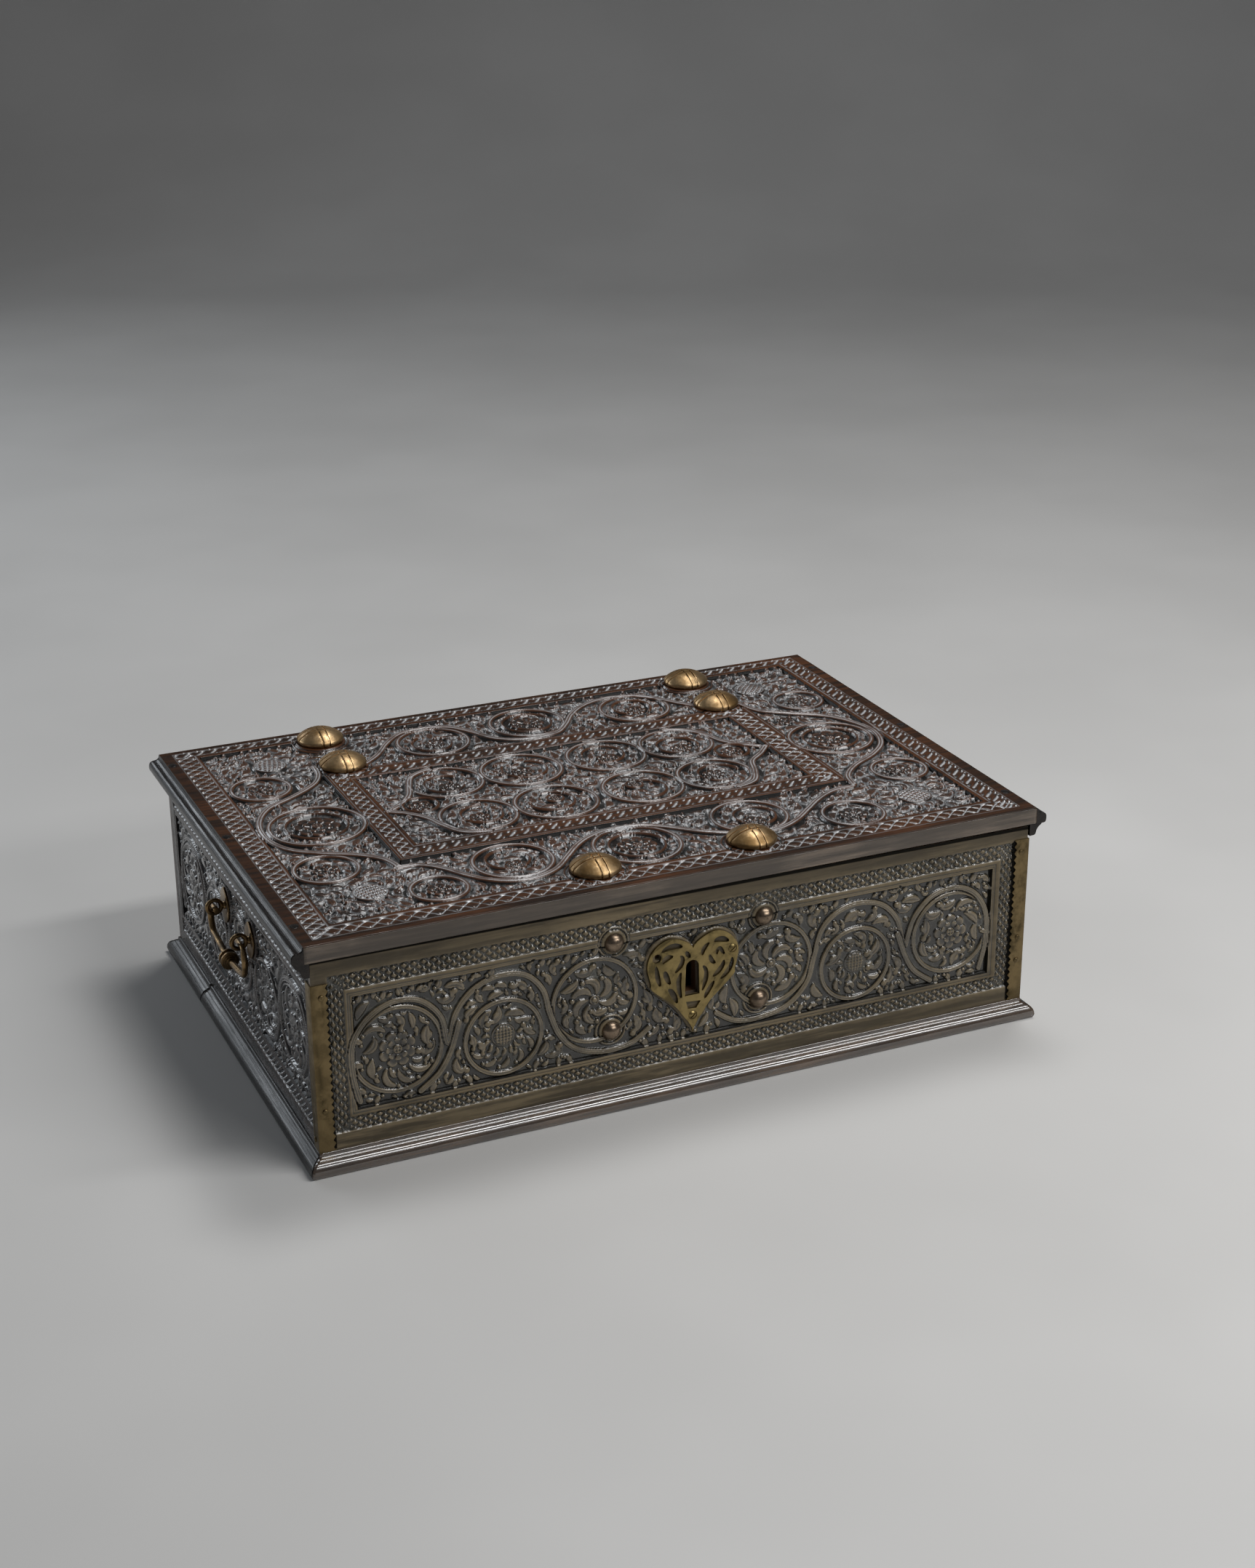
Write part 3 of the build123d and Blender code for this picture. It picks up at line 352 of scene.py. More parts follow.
    def fringe(self, xa, ya, xb, yb, pitch, reach, wide, seed):
        """Bent leaves that grow inwards from the sides of a sunk field."""
        r = np.random.default_rng(seed)
        sides = (((xa, ya), (1, 0), (0, 1), xb - xa), ((xb, yb), (-1, 0), (0, -1), xb - xa),
                 ((xb, ya), (0, 1), (-1, 0), yb - ya), ((xa, yb), (0, -1), (1, 0), yb - ya))
        t = np.linspace(0, 1, 7)[:, None]
        for start, along, inwards, length in sides:
            a, n = np.array(along, float), np.array(inwards, float)
            count = int(length / pitch)
            for k in range(count):
                at = np.array(start) + a * (k + 0.5 + r.uniform(-0.15, 0.15)) * length / count
                size = reach * r.uniform(0.75, 1.1)
                lean = r.uniform(0.5, 1.1) * (1 if k % 2 else -1)
                pts = at + n * (size * np.sin(t * 1.5) - 0.6) + a * lean * size * 0.8 * t**2
                if not (self.taken(pts[-1]) or self.taken(pts[4])):
                    self.leaf(pts, wide * r.uniform(0.8, 1.1), top=-0.35, hollow=k % 3 != 0, check=False)
                    self.button(*pts[-1], wide * 0.7, top=-0.35, ring=False)

    def fill(self, xa, ya, xb, yb, sizes, dense, seed):
        """Fills the free ground with leaves and berries that swirl about the rings, large ones first."""
        r = np.random.default_rng(seed)
        C = np.array(self.centres)
        for size in sizes:
            tries = int((xb - xa) * (yb - ya) / (size * size) * 5.5 * dense)
            P = np.stack([r.uniform(xa, xb, tries), r.uniform(ya, yb, tries)], 1)
            i = ((P[:, 0] - self.x0) / self.dx).astype(int)
            j = ((P[:, 1] - self.y0) / self.dy).astype(int)
            for k in np.nonzero(~self.busy[j, i])[0]:
                if not self.busy[j[k], i[k]]:
                    self.sprig(P[k], size, C, r)

    def sprig(self, p, size, C, r):
        """One berry, or one leaf with perhaps a curled head and two lobes, set off by random draws."""
        v = p - C[:, :2]
        dist = np.hypot(v[:, 0], v[:, 1])
        m = np.argmin(np.abs(dist - C[:, 2] * 0.9))
        a = math.atan2(v[m, 1], v[m, 0])
        way = 1 if m % 2 else -1
        a += way * (math.pi / 2) + (way if dist[m] < C[m, 2] else -way) * r.uniform(0.2, 1.1)
        if r.random() < 0.22:
            a += r.uniform(-1.4, 1.4)
        if r.random() < 0.12 and size < 5.5:
            self.button(*p, size * 0.42, ring=size > 3.4, check=True)
            return
        bend = r.uniform(0.5, 1.5) * (1 if r.random() < 0.5 else -1)
        t = np.linspace(0, 1, 7)
        ang = a + bend * (t - 0.3) * (1 + 0.6 * t)
        steps = np.stack([np.cos(ang[:-1]), np.sin(ang[:-1])], 1) * (size / 6)
        pts = (p + np.concatenate([[[0, 0]], np.cumsum(steps, 0)])
               - np.array([math.cos(a), math.sin(a)]) * size * 0.45)
        done = self.leaf(pts, size * r.uniform(0.2, 0.27) + 0.25, top=r.uniform(-0.9, -0.4),
                         hollow=r.random() < 0.6)
        if done and size > 4.5 and r.random() < 0.7:
            e = ang[-1]
            curl = 1 if bend > 0 else -1
            head = pts[-1] + np.array([math.cos(e), math.sin(e)]) * size * 0.12
            self.button(*head, size * 0.17 + 0.35, ring=False)
            for b in (e + 0.9, e - 0.9):
                lobe = [pts[-3] + np.array([math.cos(b + curl * x), math.sin(b + curl * x)]) * x * size * 0.42
                        for x in np.linspace(0.15, 1, 5)]
                self.leaf(lobe, size * 0.11 + 0.2, hollow=False, check=False)

    def band(self, xa, ya, xb, yb, kind, pitch, depth):
        """An incised border: crossed lines with chips (lattice), a net of grooves (diamond) or strokes (slant)."""
        w, X, Y = self.window(xa, ya, xb, yb)
        inside = (X >= xa) & (X <= xb) & (Y >= ya) & (Y <= yb)
        if xb - xa >= yb - ya:
            along, across, width = X - xa, Y - ya, yb - ya
        else:
            along, across, width = Y - ya, X - xa, xb - xa
        seed = int(abs(xa * 13 + ya * 7)) % 997
        c = along + noise_map(X.shape, 9, seed) * 0.35
        en = unit(across / width)
        to_side = np.minimum(en, 1 - en)
        groove = np.zeros(X.shape)
        if kind == "lattice":
            for s in (1, -1):
                q = (c / pitch + s * en + 0.25) % 1 - 0.5
                groove = np.maximum(groove, vee(q * pitch * 0.72, 0.85))
            q = np.abs((c / pitch + 0.25) % 1 - 0.5) * 2
            chip = vee(to_side * width - 0.2, 1.9) * unit(1.25 - q * 1.9)
            groove = np.maximum(groove, chip * 0.95)
        elif kind == "diamond":
            for s in (1, -1):
                q = (c / pitch + s * en * 2.0) % 1 - 0.5
                groove = np.maximum(groove, vee(q * pitch * 0.62, 1.15))
            groove = np.maximum(groove, 0.8 * vee(to_side * width, 0.7))
        else:
            lean = 0.85 * width
            middle = unit(np.minimum(en - 0.08, 0.92 - en) / 0.12)
            end = unit(1 - to_side / 0.34)
            for shift, phase, squash, half, where in (
                (-en * lean, 0.0, 0.72, 1.6, middle),
                (-en * lean, 0.5, 0.72, 1.35, end),
                (en * lean * 0.6, 0.25, 0.7, 0.7, 0.7 * end),
            ):
                q = ((c + shift) / pitch + phase) % 1 - 0.5
                groove = np.maximum(groove, vee(q * pitch * squash, half) * where)
        fade = 1 + 0.3 * noise_map(X.shape, 14, seed + 5)
        self.carve(w, inside, np.minimum(self.h[w], -0.1 - depth * groove * fade))
        # Pale waxy deposit with painted glints in the grooves.
        self.wax_and_glint(w, inside, unit(groove * 2.2 - 0.8))

    def line(self, pts, depth, half):
        """An incised line."""
        w, D, _ = self.stroke(pts, half + 0.3)
        self.carve(w, D < half, np.minimum(self.h[w], -depth * (1 - D / half)))
        # Pale waxy deposit with painted glints in the cut.
        self.wax_and_glint(w, D < half, 0.35)

    def outline(self, x0, y0, x1, y1, depth, half):
        """An incised rectangle."""
        self.line([(x0, y0), (x1, y0), (x1, y1), (x0, y1), (x0, y0)], depth, half)

    def pad(self, cx, cy, r):
        """A flat seat under a fitting, inside an incised ring."""
        w, X, Y = self.window(cx - r - 4, cy - r - 4, cx + r + 4, cy + r + 4)
        d = np.hypot(X - cx, Y - cy)
        up = unit((r + 0.7 - d) / 0.7)
        self.h[w] = self.h[w] * (1 - up) - 0.08 * up
        self.carve(w, (d > r + 0.7) & (d < r + 3.1), -2.0 + 1.7 * vee(d - r - 2.1, 0.9) ** 0.5)
        self.busy[w] |= d < r + 3.3

    def finish(self, seed):
        """Tool marks and wear, and what the shader needs of them: depth, cavity and worn_and_lit, which lightens
        raised parts as wear and as painted highlight.
        """
        low = unit(-self.h / 2.2)
        n1 = noise_map(self.h.shape, 2.2, seed)
        n2 = noise_map(self.h.shape, 7, seed + 1)
        n3 = noise_map(self.h.shape, 60, seed + 2)
        self.h = self.h + n1 * 0.02 * (0.35 + low) + n2 * 0.07 + n3 * 0.12 - 0.15
        soft = blur(self.h, 1)
        self.h = np.where(self.h > soft, 0.5 * self.h + 0.5 * soft, 0.9 * self.h + 0.1 * soft)
        self.h = np.minimum(self.h, 0.0)
        self.cavity = unit(0.5 + (self.h - blur(self.h, 2)) * 0.9)
        self.depth = unit(-self.h / 2.3)
        self.worn_and_lit = unit(0.5 + (self.h - blur(self.h, 7)) * 0.45)

    def hem(self, width):
        """Brings the heights back to the board's face along its outer sides."""
        X, Y = np.meshgrid(self.xs, self.ys)
        edge = from_edge(X, Y, self.x0, self.y0, self.x1, self.y1)
        self.h = np.where(edge < 0.3, 0.0, self.h * unit(edge / width))
        return X, Y

    def meshes(self, name, place, nu, nv, body, material, node, skip=None):
        """Turns the heights into nu by nv smooth pieces. place gives a point for x, y and height."""
        X, Y = np.meshgrid(self.xs, self.ys)
        P = np.stack(place(X, Y, self.h), -1)
        relief = np.stack([self.depth, self.cavity, self.worn_and_lit, self.tone], -1)
        cu = np.linspace(0, self.nx - 1, nu + 1).round().astype(int)
        cv = np.linspace(0, self.ny - 1, nv + 1).round().astype(int)
        for a in range(nu):
            for b in range(nv):
                part = (slice(cv[b], cv[b + 1] + 1), slice(cu[a], cu[a + 1] + 1))
                quads = grid_quads(*P[part].shape[:2])
                if skip is not None:
                    quads = quads[~skip[part].reshape(-1)[quads].any(1)]
                o = raw_mesh(f"{name}_{a}{b}", P[part].reshape(-1, 3) * MM, quads, relief[part].reshape(-1, 4))
                finish_piece(o, body, "carved_wood", material, node)


def grid_quads(m, n):
    """The faces between m rows of n points."""
    idx = np.arange(m * n).reshape(m, n)
    return np.stack([idx[:-1, :-1], idx[:-1, 1:], idx[1:, 1:], idx[1:, :-1]], -1).reshape(-1, 4)


def add_object(name, data):
    o = bpy.data.objects.new(name, data)
    bpy.context.scene.collection.objects.link(o)
    return o


def raw_mesh(name, verts, quads, relief=None):
    """An object from points and quads; relief is stored for the carved wood's shader."""
    me = bpy.data.meshes.new(name)
    me.vertices.add(len(verts))
    me.vertices.foreach_set("co", np.asarray(verts, np.float32).ravel())
    quads = np.ascontiguousarray(quads, np.int32)
    me.loops.add(quads.size)
    me.loops.foreach_set("vertex_index", quads.ravel())
    me.polygons.add(len(quads))
    me.polygons.foreach_set("loop_start", np.arange(0, quads.size, quads.shape[1], dtype=np.int32))
    me.polygons.foreach_set("use_smooth", np.ones(len(quads), bool))
    if relief is not None:
        att = me.attributes.new("relief", "FLOAT_COLOR", "POINT")
        att.data.foreach_set("color", np.ascontiguousarray(relief, np.float32).ravel())
    me.update(calc_edges=True)
    return add_object(name, me)


def mesh_of(bm, name):
    me = bpy.data.meshes.new(name)
    bm.to_mesh(me)
    bm.free()
    return me


def smooth_piece(name, me, crease, *rest):
    """A smooth shaded piece that keeps the edges sharper than crease degrees."""
    me.polygons.foreach_set("use_smooth", np.ones(len(me.polygons), bool))
    me.set_sharp_from_angle(angle=math.radians(crease))
    finish_piece(add_object(name, me), *rest)


def finish_piece(o, body, slot, material, node):
    o.data.materials.append(material)
    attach(o, body)
    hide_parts(node)


def rgb(text):
    """A hexadecimal sRGB colour as a linear one."""
    out = []
    for k in (0, 2, 4):
        c = int(text[k:k + 2], 16) / 255
        out.append(c / 12.92 if c <= 0.04045 else ((c + 0.055) / 1.055) ** 2.4)
    return (*out, 1.0)


def colours(text):
    return [rgb(c) for c in text.split()]


class Mat:
    """A short way to build node materials."""

    def __init__(self, name):
        self.m = bpy.data.materials.new(name)
        self.m.use_nodes = True
        self.t = self.m.node_tree
        self.t.nodes.clear()
        self.co = self.node("TexCoord").outputs["Object"]
        self.b = self.node("BsdfPrincipled")
        self.node("OutputMaterial", Surface=self.b.outputs[0])

    def link(self, value, socket):
        if isinstance(value, (int, float, tuple)):
            socket.default_value = value
        else:
            self.t.links.new(value, socket)

    def node(self, kind, **inputs):
        """A shader node, with each named input linked to an output or set to a number or colour."""
        n = self.t.nodes.new("ShaderNode" + kind)
        for name, value in inputs.items():
            self.link(value, n.inputs[name.replace("_", " ")])
        return n

    def set(self, name, value):
        self.link(value, self.b.inputs[name])

    def mapping(self, scale):
        return self.node("Mapping", Scale=scale, Vector=self.co).outputs[0]

    def noise(self, scale, detail, rough, vector=None, distortion=0.0):
        return self.node("TexNoise", Scale=scale, Detail=detail, Roughness=rough, Distortion=distortion,
                         Vector=self.co if vector is None else vector).outputs[0]

    def ramp(self, value, lo, hi, a=0.0, b=1.0):
        n = self.node("MapRange", Value=value, From_Min=lo, From_Max=hi, To_Min=a, To_Max=b)
        n.interpolation_type = "SMOOTHSTEP"
        return n.outputs[0]

    def math(self, op, a, b):
        n = self.node("Math")
        n.operation = op
        self.link(a, n.inputs[0])
        self.link(b, n.inputs[1])
        return n.outputs[0]

    def times(self, a, b):
        return self.math("MULTIPLY", a, b)

    def mix(self, fac, a, b):
        n = self.node("Mix", Factor=fac)
        n.data_type = "RGBA"
        self.link(a, n.inputs[6])
        self.link(b, n.inputs[7])
        return n.outputs[2]

    def bump(self, height, strength, distance, **normal):
        return self.node("Bump", Height=height, Strength=strength, Distance=distance, **normal).outputs[0]

    def pointiness(self):
        return self.node("NewGeometry").outputs["Pointiness"]

    def relief(self):
        """What the carving stores: depth, cavity, worn_and_lit and tone."""
        n = self.node("Attribute")
        n.attribute_name = "relief"
        s = self.node("SeparateColor", Color=n.outputs["Color"])
        return (*s.outputs[:3], n.outputs["Alpha"])


def along(axis, across):
    """A scale that stretches a pattern along one axis of the board."""
    return (1, across, across) if axis == "x" else (across, 1, across)


def carved_wood(name, shades, dusty, lined, recess_shade, gloss, coat, axis):
    """Waxed carved wood. shades: highs, board, the painted shade of the hollows, and residue_and_glint, the pale
    colour in them. dusty and lined say how much of that pale colour lies in the hollows as dust and in the cut
    lines as waxy deposit with painted glints, recess_shade how black the ground is painted, as shade."""
    m = Mat(name)
    high, mid, deep, residue_and_glint = colours(shades)
    depth, cavity, worn_and_lit, tone = m.relief()
    grain = m.noise(16, 6, 0.62, m.mapping(along(axis, 14)), 0.35)
    broad = m.noise(7, 3, 0.5)
    fine = m.noise(420, 3, 0.6)
    patch = m.noise(24, 4, 0.6)
    base = m.mix(m.ramp(grain, 0.38, 0.64), mid, high)
    base = m.mix(m.ramp(broad, 0.42, 0.62, 0.0, 0.6), base, mid)
    # Painted shade: deeper ground is mixed towards the deep colour by recess_shade, and creases are darker still.
    base = m.mix(m.ramp(depth, 0.25, 0.8, 0.0, recess_shade), base, deep)
    base = m.mix(m.ramp(cavity, 0.5, 0.3, 0.0, 0.85), base, deep)
    # Painted highlight: sharp ridges lighter, in patches.
    shine = m.times(m.ramp(cavity, 0.55, 0.75), m.ramp(patch, 0.38, 0.6, 0.2, 1.0))
    base = m.mix(m.times(shine, 0.75), base, high)
    # Raised parts lighter: wear and painted highlight.
    base = m.mix(m.times(m.ramp(worn_and_lit, 0.52, 0.75), m.ramp(patch, 0.4, 0.6, 0.1, 0.6)), base, high)
    hollow = m.times(m.ramp(cavity, 0.5, 0.3), m.ramp(depth, 0.2, 0.6))
    dust = m.times(hollow, m.ramp(m.noise(60, 4, 0.65), 0.46, 0.66, 0.0, dusty))
    # Pale waxy deposit with painted glints where tone is above 0, mixed with the dust of the hollows.
    wax_and_glint = m.times(tone, m.ramp(m.noise(90, 3, 0.6), 0.32, 0.5, lined * 0.45, lined))
    base = m.mix(m.math("MAXIMUM", dust, wax_and_glint), base, residue_and_glint)
    # Painted shade: black where tone is below 0.
    unshaded = m.ramp(tone, -0.7, -0.1)
    m.set("Base Color", m.mix(unshaded, deep, base))
    m.set("Roughness", m.math("ADD", m.ramp(depth, 0.1, 0.8, gloss + 0.1, gloss + 0.02),
                              m.ramp(fine, 0.3, 0.7, -0.04, 0.06)))
    m.set("Specular IOR Level", m.times(m.ramp(depth, 0.08, 0.35, 0.22, 0.45),
                                        m.ramp(tone, -0.7, -0.1, 0.2, 1.0)))
    m.set("Coat Weight", m.times(m.ramp(depth, 0.08, 0.35, 0.05, coat), unshaded))
    m.set("Coat Roughness", 0.2)
    m.set("Normal", m.bump(fine, 0.08, 0.0003, Normal=m.bump(grain, 0.25, 0.0006)))
    return m.m


def plain_wood(name, shades, gloss, axis, sheen=0.0):
    """Plain wood rubbed by use: high and dark shades. A sheen above 0.4 is polished, one below 0 is dull."""
    m = Mat(name)
    high, dark = colours(shades)
    polished = sheen > 0.4
    grain = m.noise(18, 7, 0.65, m.mapping(along(axis, 16)), 0.3)
    scratch = m.noise(40, 3, 0.7, m.mapping(along(axis, 30)), 0.1)
    blot = m.noise(11, 5, 0.6)
    base = m.mix(m.ramp(grain, 0.35, 0.7), dark, high)
    base = m.mix(m.ramp(blot, 0.38, 0.62, 0.0, 0.75), base, dark)
    m.set("Base Color", m.mix(m.ramp(m.pointiness(), 0.52, 0.6, 0.0, 0.65), base, high))
    m.set("Roughness", m.math("ADD", m.ramp(blot, 0.3, 0.7, gloss, gloss + 0.14),
                              m.ramp(scratch, 0.3, 0.7, -0.06, 0.08)))
    m.set("Specular IOR Level", 0.25 if sheen < 0 else 0.5)
    m.set("Coat Weight", 0.3 + sheen)
    m.set("Coat Roughness", 0.14 if polished else 0.2)
    m.set("Coat IOR", 1.9 if polished else 1.5)
    smooth = 0.25 if polished else 0.5
    m.set("Normal", m.bump(scratch, 0.25 * smooth, 0.0004, Normal=m.bump(grain, 0.4 * smooth, 0.0008)))
    return m.m


def metal(name, shades, rough, patina_scale, dents=0.5):
    """Hammered metal with a dull patina, brighter on rubbed edges."""
    m = Mat(name)
    bright, dull = colours(shades)
    patch = m.noise(patina_scale, 5, 0.62)
    fine = m.noise(700, 3, 0.6)
    point = m.pointiness()
    base = m.mix(m.ramp(patch, 0.4, 0.62), bright, dull)
    base = m.mix(m.ramp(point, 0.51, 0.58, 0.0, 0.6), base, bright)
    m.set("Base Color", m.mix(m.ramp(point, 0.48, 0.38, 0.0, 0.8), base, dull))
    m.set("Metallic", 1.0)
    m.set("Roughness", m.math("ADD", m.ramp(patch, 0.35, 0.65, rough, rough + 0.16),
                              m.ramp(fine, 0.3, 0.7, -0.03, 0.05)))
    dent = m.bump(m.noise(150, 2, 0.4), 0.35 * dents, 0.0012)
    m.set("Normal", m.bump(fine, 0.12, 0.0002, Normal=dent))
    return m.m


# Each carved wood's colours: high, board, the painted shade of the hollows, and the pale colour of dust and waxy
# deposit with painted glints.
LID_WOOD = carved_wood("lid_wood", "4e2e18 1f130b 090705 c6c7c9", 0.26, 0.82, 1.0, 0.28, 0.85, "x")
FRONT_WOOD = carved_wood("front_wood", "766952 4a4234 13110c 8d8b7e", 0.25, 0.14, 0.95, 0.22, 0.95, "x")
SIDE_WOOD = carved_wood("side_wood", "4e433d 201d1d 050506 9a9ea6", 0.2, 0.35, 1.0, 0.15, 1.0, "y")
EDGE_X = plain_wood("edge_wood_x", "786a5c 423a32", 0.26, "x")
BASE_X = plain_wood("base_wood_x", "6a5644 3a2f26", 0.16, "x", 0.7)
EDGE_Y = plain_wood("edge_wood_y", "2b2522 0e0d0d", 0.22, "y", -0.18)
BACK_WOOD = plain_wood("back_wood", "4a3524 2a1f18", 0.42, "x")
INSIDE_WOOD = plain_wood("inside_wood", "6a4a30 412c1d", 0.55, "x")
BRASS = metal("old_brass", "8f7653 544532", 0.26, 70)
HEART_BRASS = metal("heart_brass", "948257 5e5338", 0.3, 90, 0.3)
BOSS_BRASS = metal("boss_brass", "bfa27a 7d6340", 0.34, 45, 0.8)
STRIP_BRASS = metal("strip_brass", "7e6d4e 453c2a", 0.34, 80, 0.9)
IRON = metal("nail_iron", "8c7b69 50463c", 0.26, 60, 0.9)


def resample(profile, step):
    p = np.array(profile, float)
    out = [p[0]]
    for a, b in zip(p[:-1], p[1:]):
        k = max(1, int(np.ceil(np.linalg.norm(b - a) / step)))
        out += [a + (b - a) * t / k for t in range(1, k + 1)]
    return np.array(out)


def sweep(name, profile, at, length, mitre, body, slot, material, node, seed, wobble=0.12, wear=0.15):
    """A moulding: profile points are (outwards, up), at maps (along, outwards, up) to the part's frame.
    mitre gives how much each end follows the projection: 1 lengthens it, 0 is square."""
    p = resample(profile, 0.5)
    m, n = len(p), int(length / 2.0) + 1
    s = np.linspace(0, 1, n)
    lo = -length / 2 - mitre[0] * p[:, 0]
    hi = length / 2 + mitre[1] * p[:, 0]
    A = lo[:, None] * (1 - s) + hi[:, None] * s
    d = np.gradient(p, axis=0)
    nr = np.stack([d[:, 1], -d[:, 0]], 1)
    nr /= np.maximum(np.linalg.norm(nr, axis=1, keepdims=True), 1e-9)
    if ((p - p.mean(0)) * nr).sum(1).mean() >= 0:
        nr = -nr
    turn = np.abs(np.gradient(np.unwrap(np.arctan2(d[:, 1], d[:, 0]))))
    turn = unit(turn / 0.5)[:, None]
    N = noise_map((m, n), 5, seed) * 0.5 + noise_map((m, n), 22, seed + 1) * 0.5
    chips = unit(noise_map((m, n), 3.5, seed + 2) - 0.45)
    free = np.ones(m)
    free[0] = free[-1] = 0
    inwards = (np.abs(N) * wobble + turn * (wear * (0.6 + 0.4 * N) + chips * wear * 2.2)) * free[:, None]
    O, U = (p[:, k][:, None] + nr[:, k][:, None] * inwards for k in (0, 1))
    bm = bmesh.new()
    vs = [bm.verts.new(v) for v in np.stack(at(A, O, U), -1).reshape(-1, 3) * MM]
    for q in grid_quads(m, n):
        bm.faces.new([vs[k] for k in q])
    for end in (0, n - 1):
        bm.faces.new(vs[end::n])
    bmesh.ops.recalc_face_normals(bm, faces=bm.faces)
    for f in bm.faces:
        f.smooth = len(f.verts) == 4
    finish_piece(add_object(name, mesh_of(bm, name)), body, slot, material, node)


def connected(walls):
    """Groups of faces that share edges."""
    groups = []
    while walls:
        todo, group = [walls.pop()], set()
        while todo:
            f = todo.pop()
            group.add(f)
            for g in {g for e in f.edges for g in e.link_faces} & walls:
                walls.remove(g)
                todo.append(g)
        groups.append(group)
    return groups


def widen_slots(bm, by):
    """Files the openings of a plate that stands across Y wider; round holes and the keyhole stay."""
    moves = {}
    for group in connected({f for f in bm.faces if abs(f.normal.y) < 0.3}):
        vs = {v for f in group for v in f.verts}
        P = np.array([(v.co.x, v.co.z) for v in vs]) / MM
        wide, high = np.ptp(P, axis=0)
        is_round = np.hypot(*(P - P.mean(0)).T).std() < 0.12
        is_keyhole = high > 15 and abs(P[:, 0].mean() - KEYHOLE_X) < 1.5
        if wide > 40 or is_round or is_keyhole:
            continue
        for v in vs:
            n = sum((f.normal for f in v.link_faces if f in group), Vector())
            n.y = 0
            moves[v] = n.normalized() * by * MM
    for v, move in moves.items():
        v.co -= move


def slim_pins(me, s):
    """Wear on a bail: its ends are thinner where they turn in the eyes."""
    for v in me.vertices:
        dx, dz = v.co.x / MM - s * EYE_X, v.co.z / MM - BAIL_Z
        q = math.hypot(dx, dz)
        if abs(v.co.y / MM - HANDLE_Y) > EYE_Y - 4.5 and 0.01 < q < 4.6:
            t = min(max((q - 2.3) / 2.3, 0), 1)
            f = 0.68 + 0.32 * t * t * (3 - 2 * t)
            v.co.x, v.co.z = (s * EYE_X + dx * f) * MM, (BAIL_Z + dz * f) * MM


def softened(node, width, slot, material, open_by=0.0, crease=38):
    """A copy of a CAD node with its sharp edges rounded."""
    src = frame["nodes"][node]
    bm = bmesh.new()
    bm.from_mesh(src.data)
    bmesh.ops.remove_doubles(bm, verts=bm.verts, dist=2e-6)
    if open_by:
        widen_slots(bm, open_by)
    bmesh.ops.dissolve_limit(bm, angle_limit=math.radians(0.6), verts=bm.verts, edges=bm.edges)
    if width:
        sharp = [e for e in bm.edges if len(e.link_faces) == 2 and e.calc_face_angle(0) > math.radians(28)]
        bmesh.ops.bevel(bm, geom=sharp, offset=width * MM, segments=2, profile=0.5, affect="EDGES",
                        clamp_overlap=True)
    bmesh.ops.recalc_face_normals(bm, faces=bm.faces)
    me = mesh_of(bm, node + "_soft")
    if node.startswith("handle_bail"):
        slim_pins(me, -1 if node.endswith("left") else 1)
    smooth_piece(node + "_soft", me, crease, src["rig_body"], slot, material, node)


def block(name, lo, hi, *rest):
    """A plain box between two corners."""
    bm = bmesh.new()
    bmesh.ops.create_cube(bm, size=1.0)
    for v in bm.verts:
        v.co = Vector([(lo[k] + (v.co[k] + 0.5) * (hi[k] - lo[k])) * MM for k in range(3)])
    finish_piece(add_object(name, mesh_of(bm, name)), *rest)


def outline_plate(name, loops, y0, y1, *rest):
    """A flat board standing across Y, with holes: loops of (x, z)."""
    cu = bpy.data.curves.new(name, "CURVE")
    cu.dimensions = "2D"
    cu.fill_mode = "BOTH"
    cu.extrude = abs(y1 - y0) / 2 * MM
    for loop in loops:
        sp = cu.splines.new("POLY")
        sp.points.add(len(loop) - 1)
        for point, (x, z) in zip(sp.points, loop):
            point.co = (x * MM, z * MM, 0, 1)
        sp.use_cyclic_u = True
    tmp = add_object(name + "_curve", cu)
    me = bpy.data.meshes.new_from_object(tmp)
    bpy.data.objects.remove(tmp)
    me.transform(Matrix(((1, 0, 0, 0), (0, 0, 1, (y0 + y1) / 2 * MM), (0, 1, 0, 0), (0, 0, 0, 1))))
    me.flip_normals()
    me.name = name
    finish_piece(add_object(name, me), *rest)


# Lid: layout measured from the front left corner of the board, then moved to the part's frame.
# Fields and bands are (x0, y0, x1, y1); a band goes on with its pattern and pitch
LID_FIELD, LID_CENTRE = (23.5, 25, 455.5, 307.5), (106.5, 111, 376, 228)
LID_BANDS = (
    (9, 9, 20, 315, "lattice", 7.6), (460.3, 9, 471, 315, "slant", 8.2),
    (9, 10.5, 471, 20.5, "lattice", 10.5), (9, 312, 471, 320.5, "slant", 9.0),
    (93, 97, 101.5, 241, "lattice", 8.2), (379.5, 97, 391.5, 241, "lattice", 8.2),
    (93, 231.5, 391.5, 240.5, "slant", 9.2), (93, 97.5, 391.5, 106.5, "slant", 9.2),
)
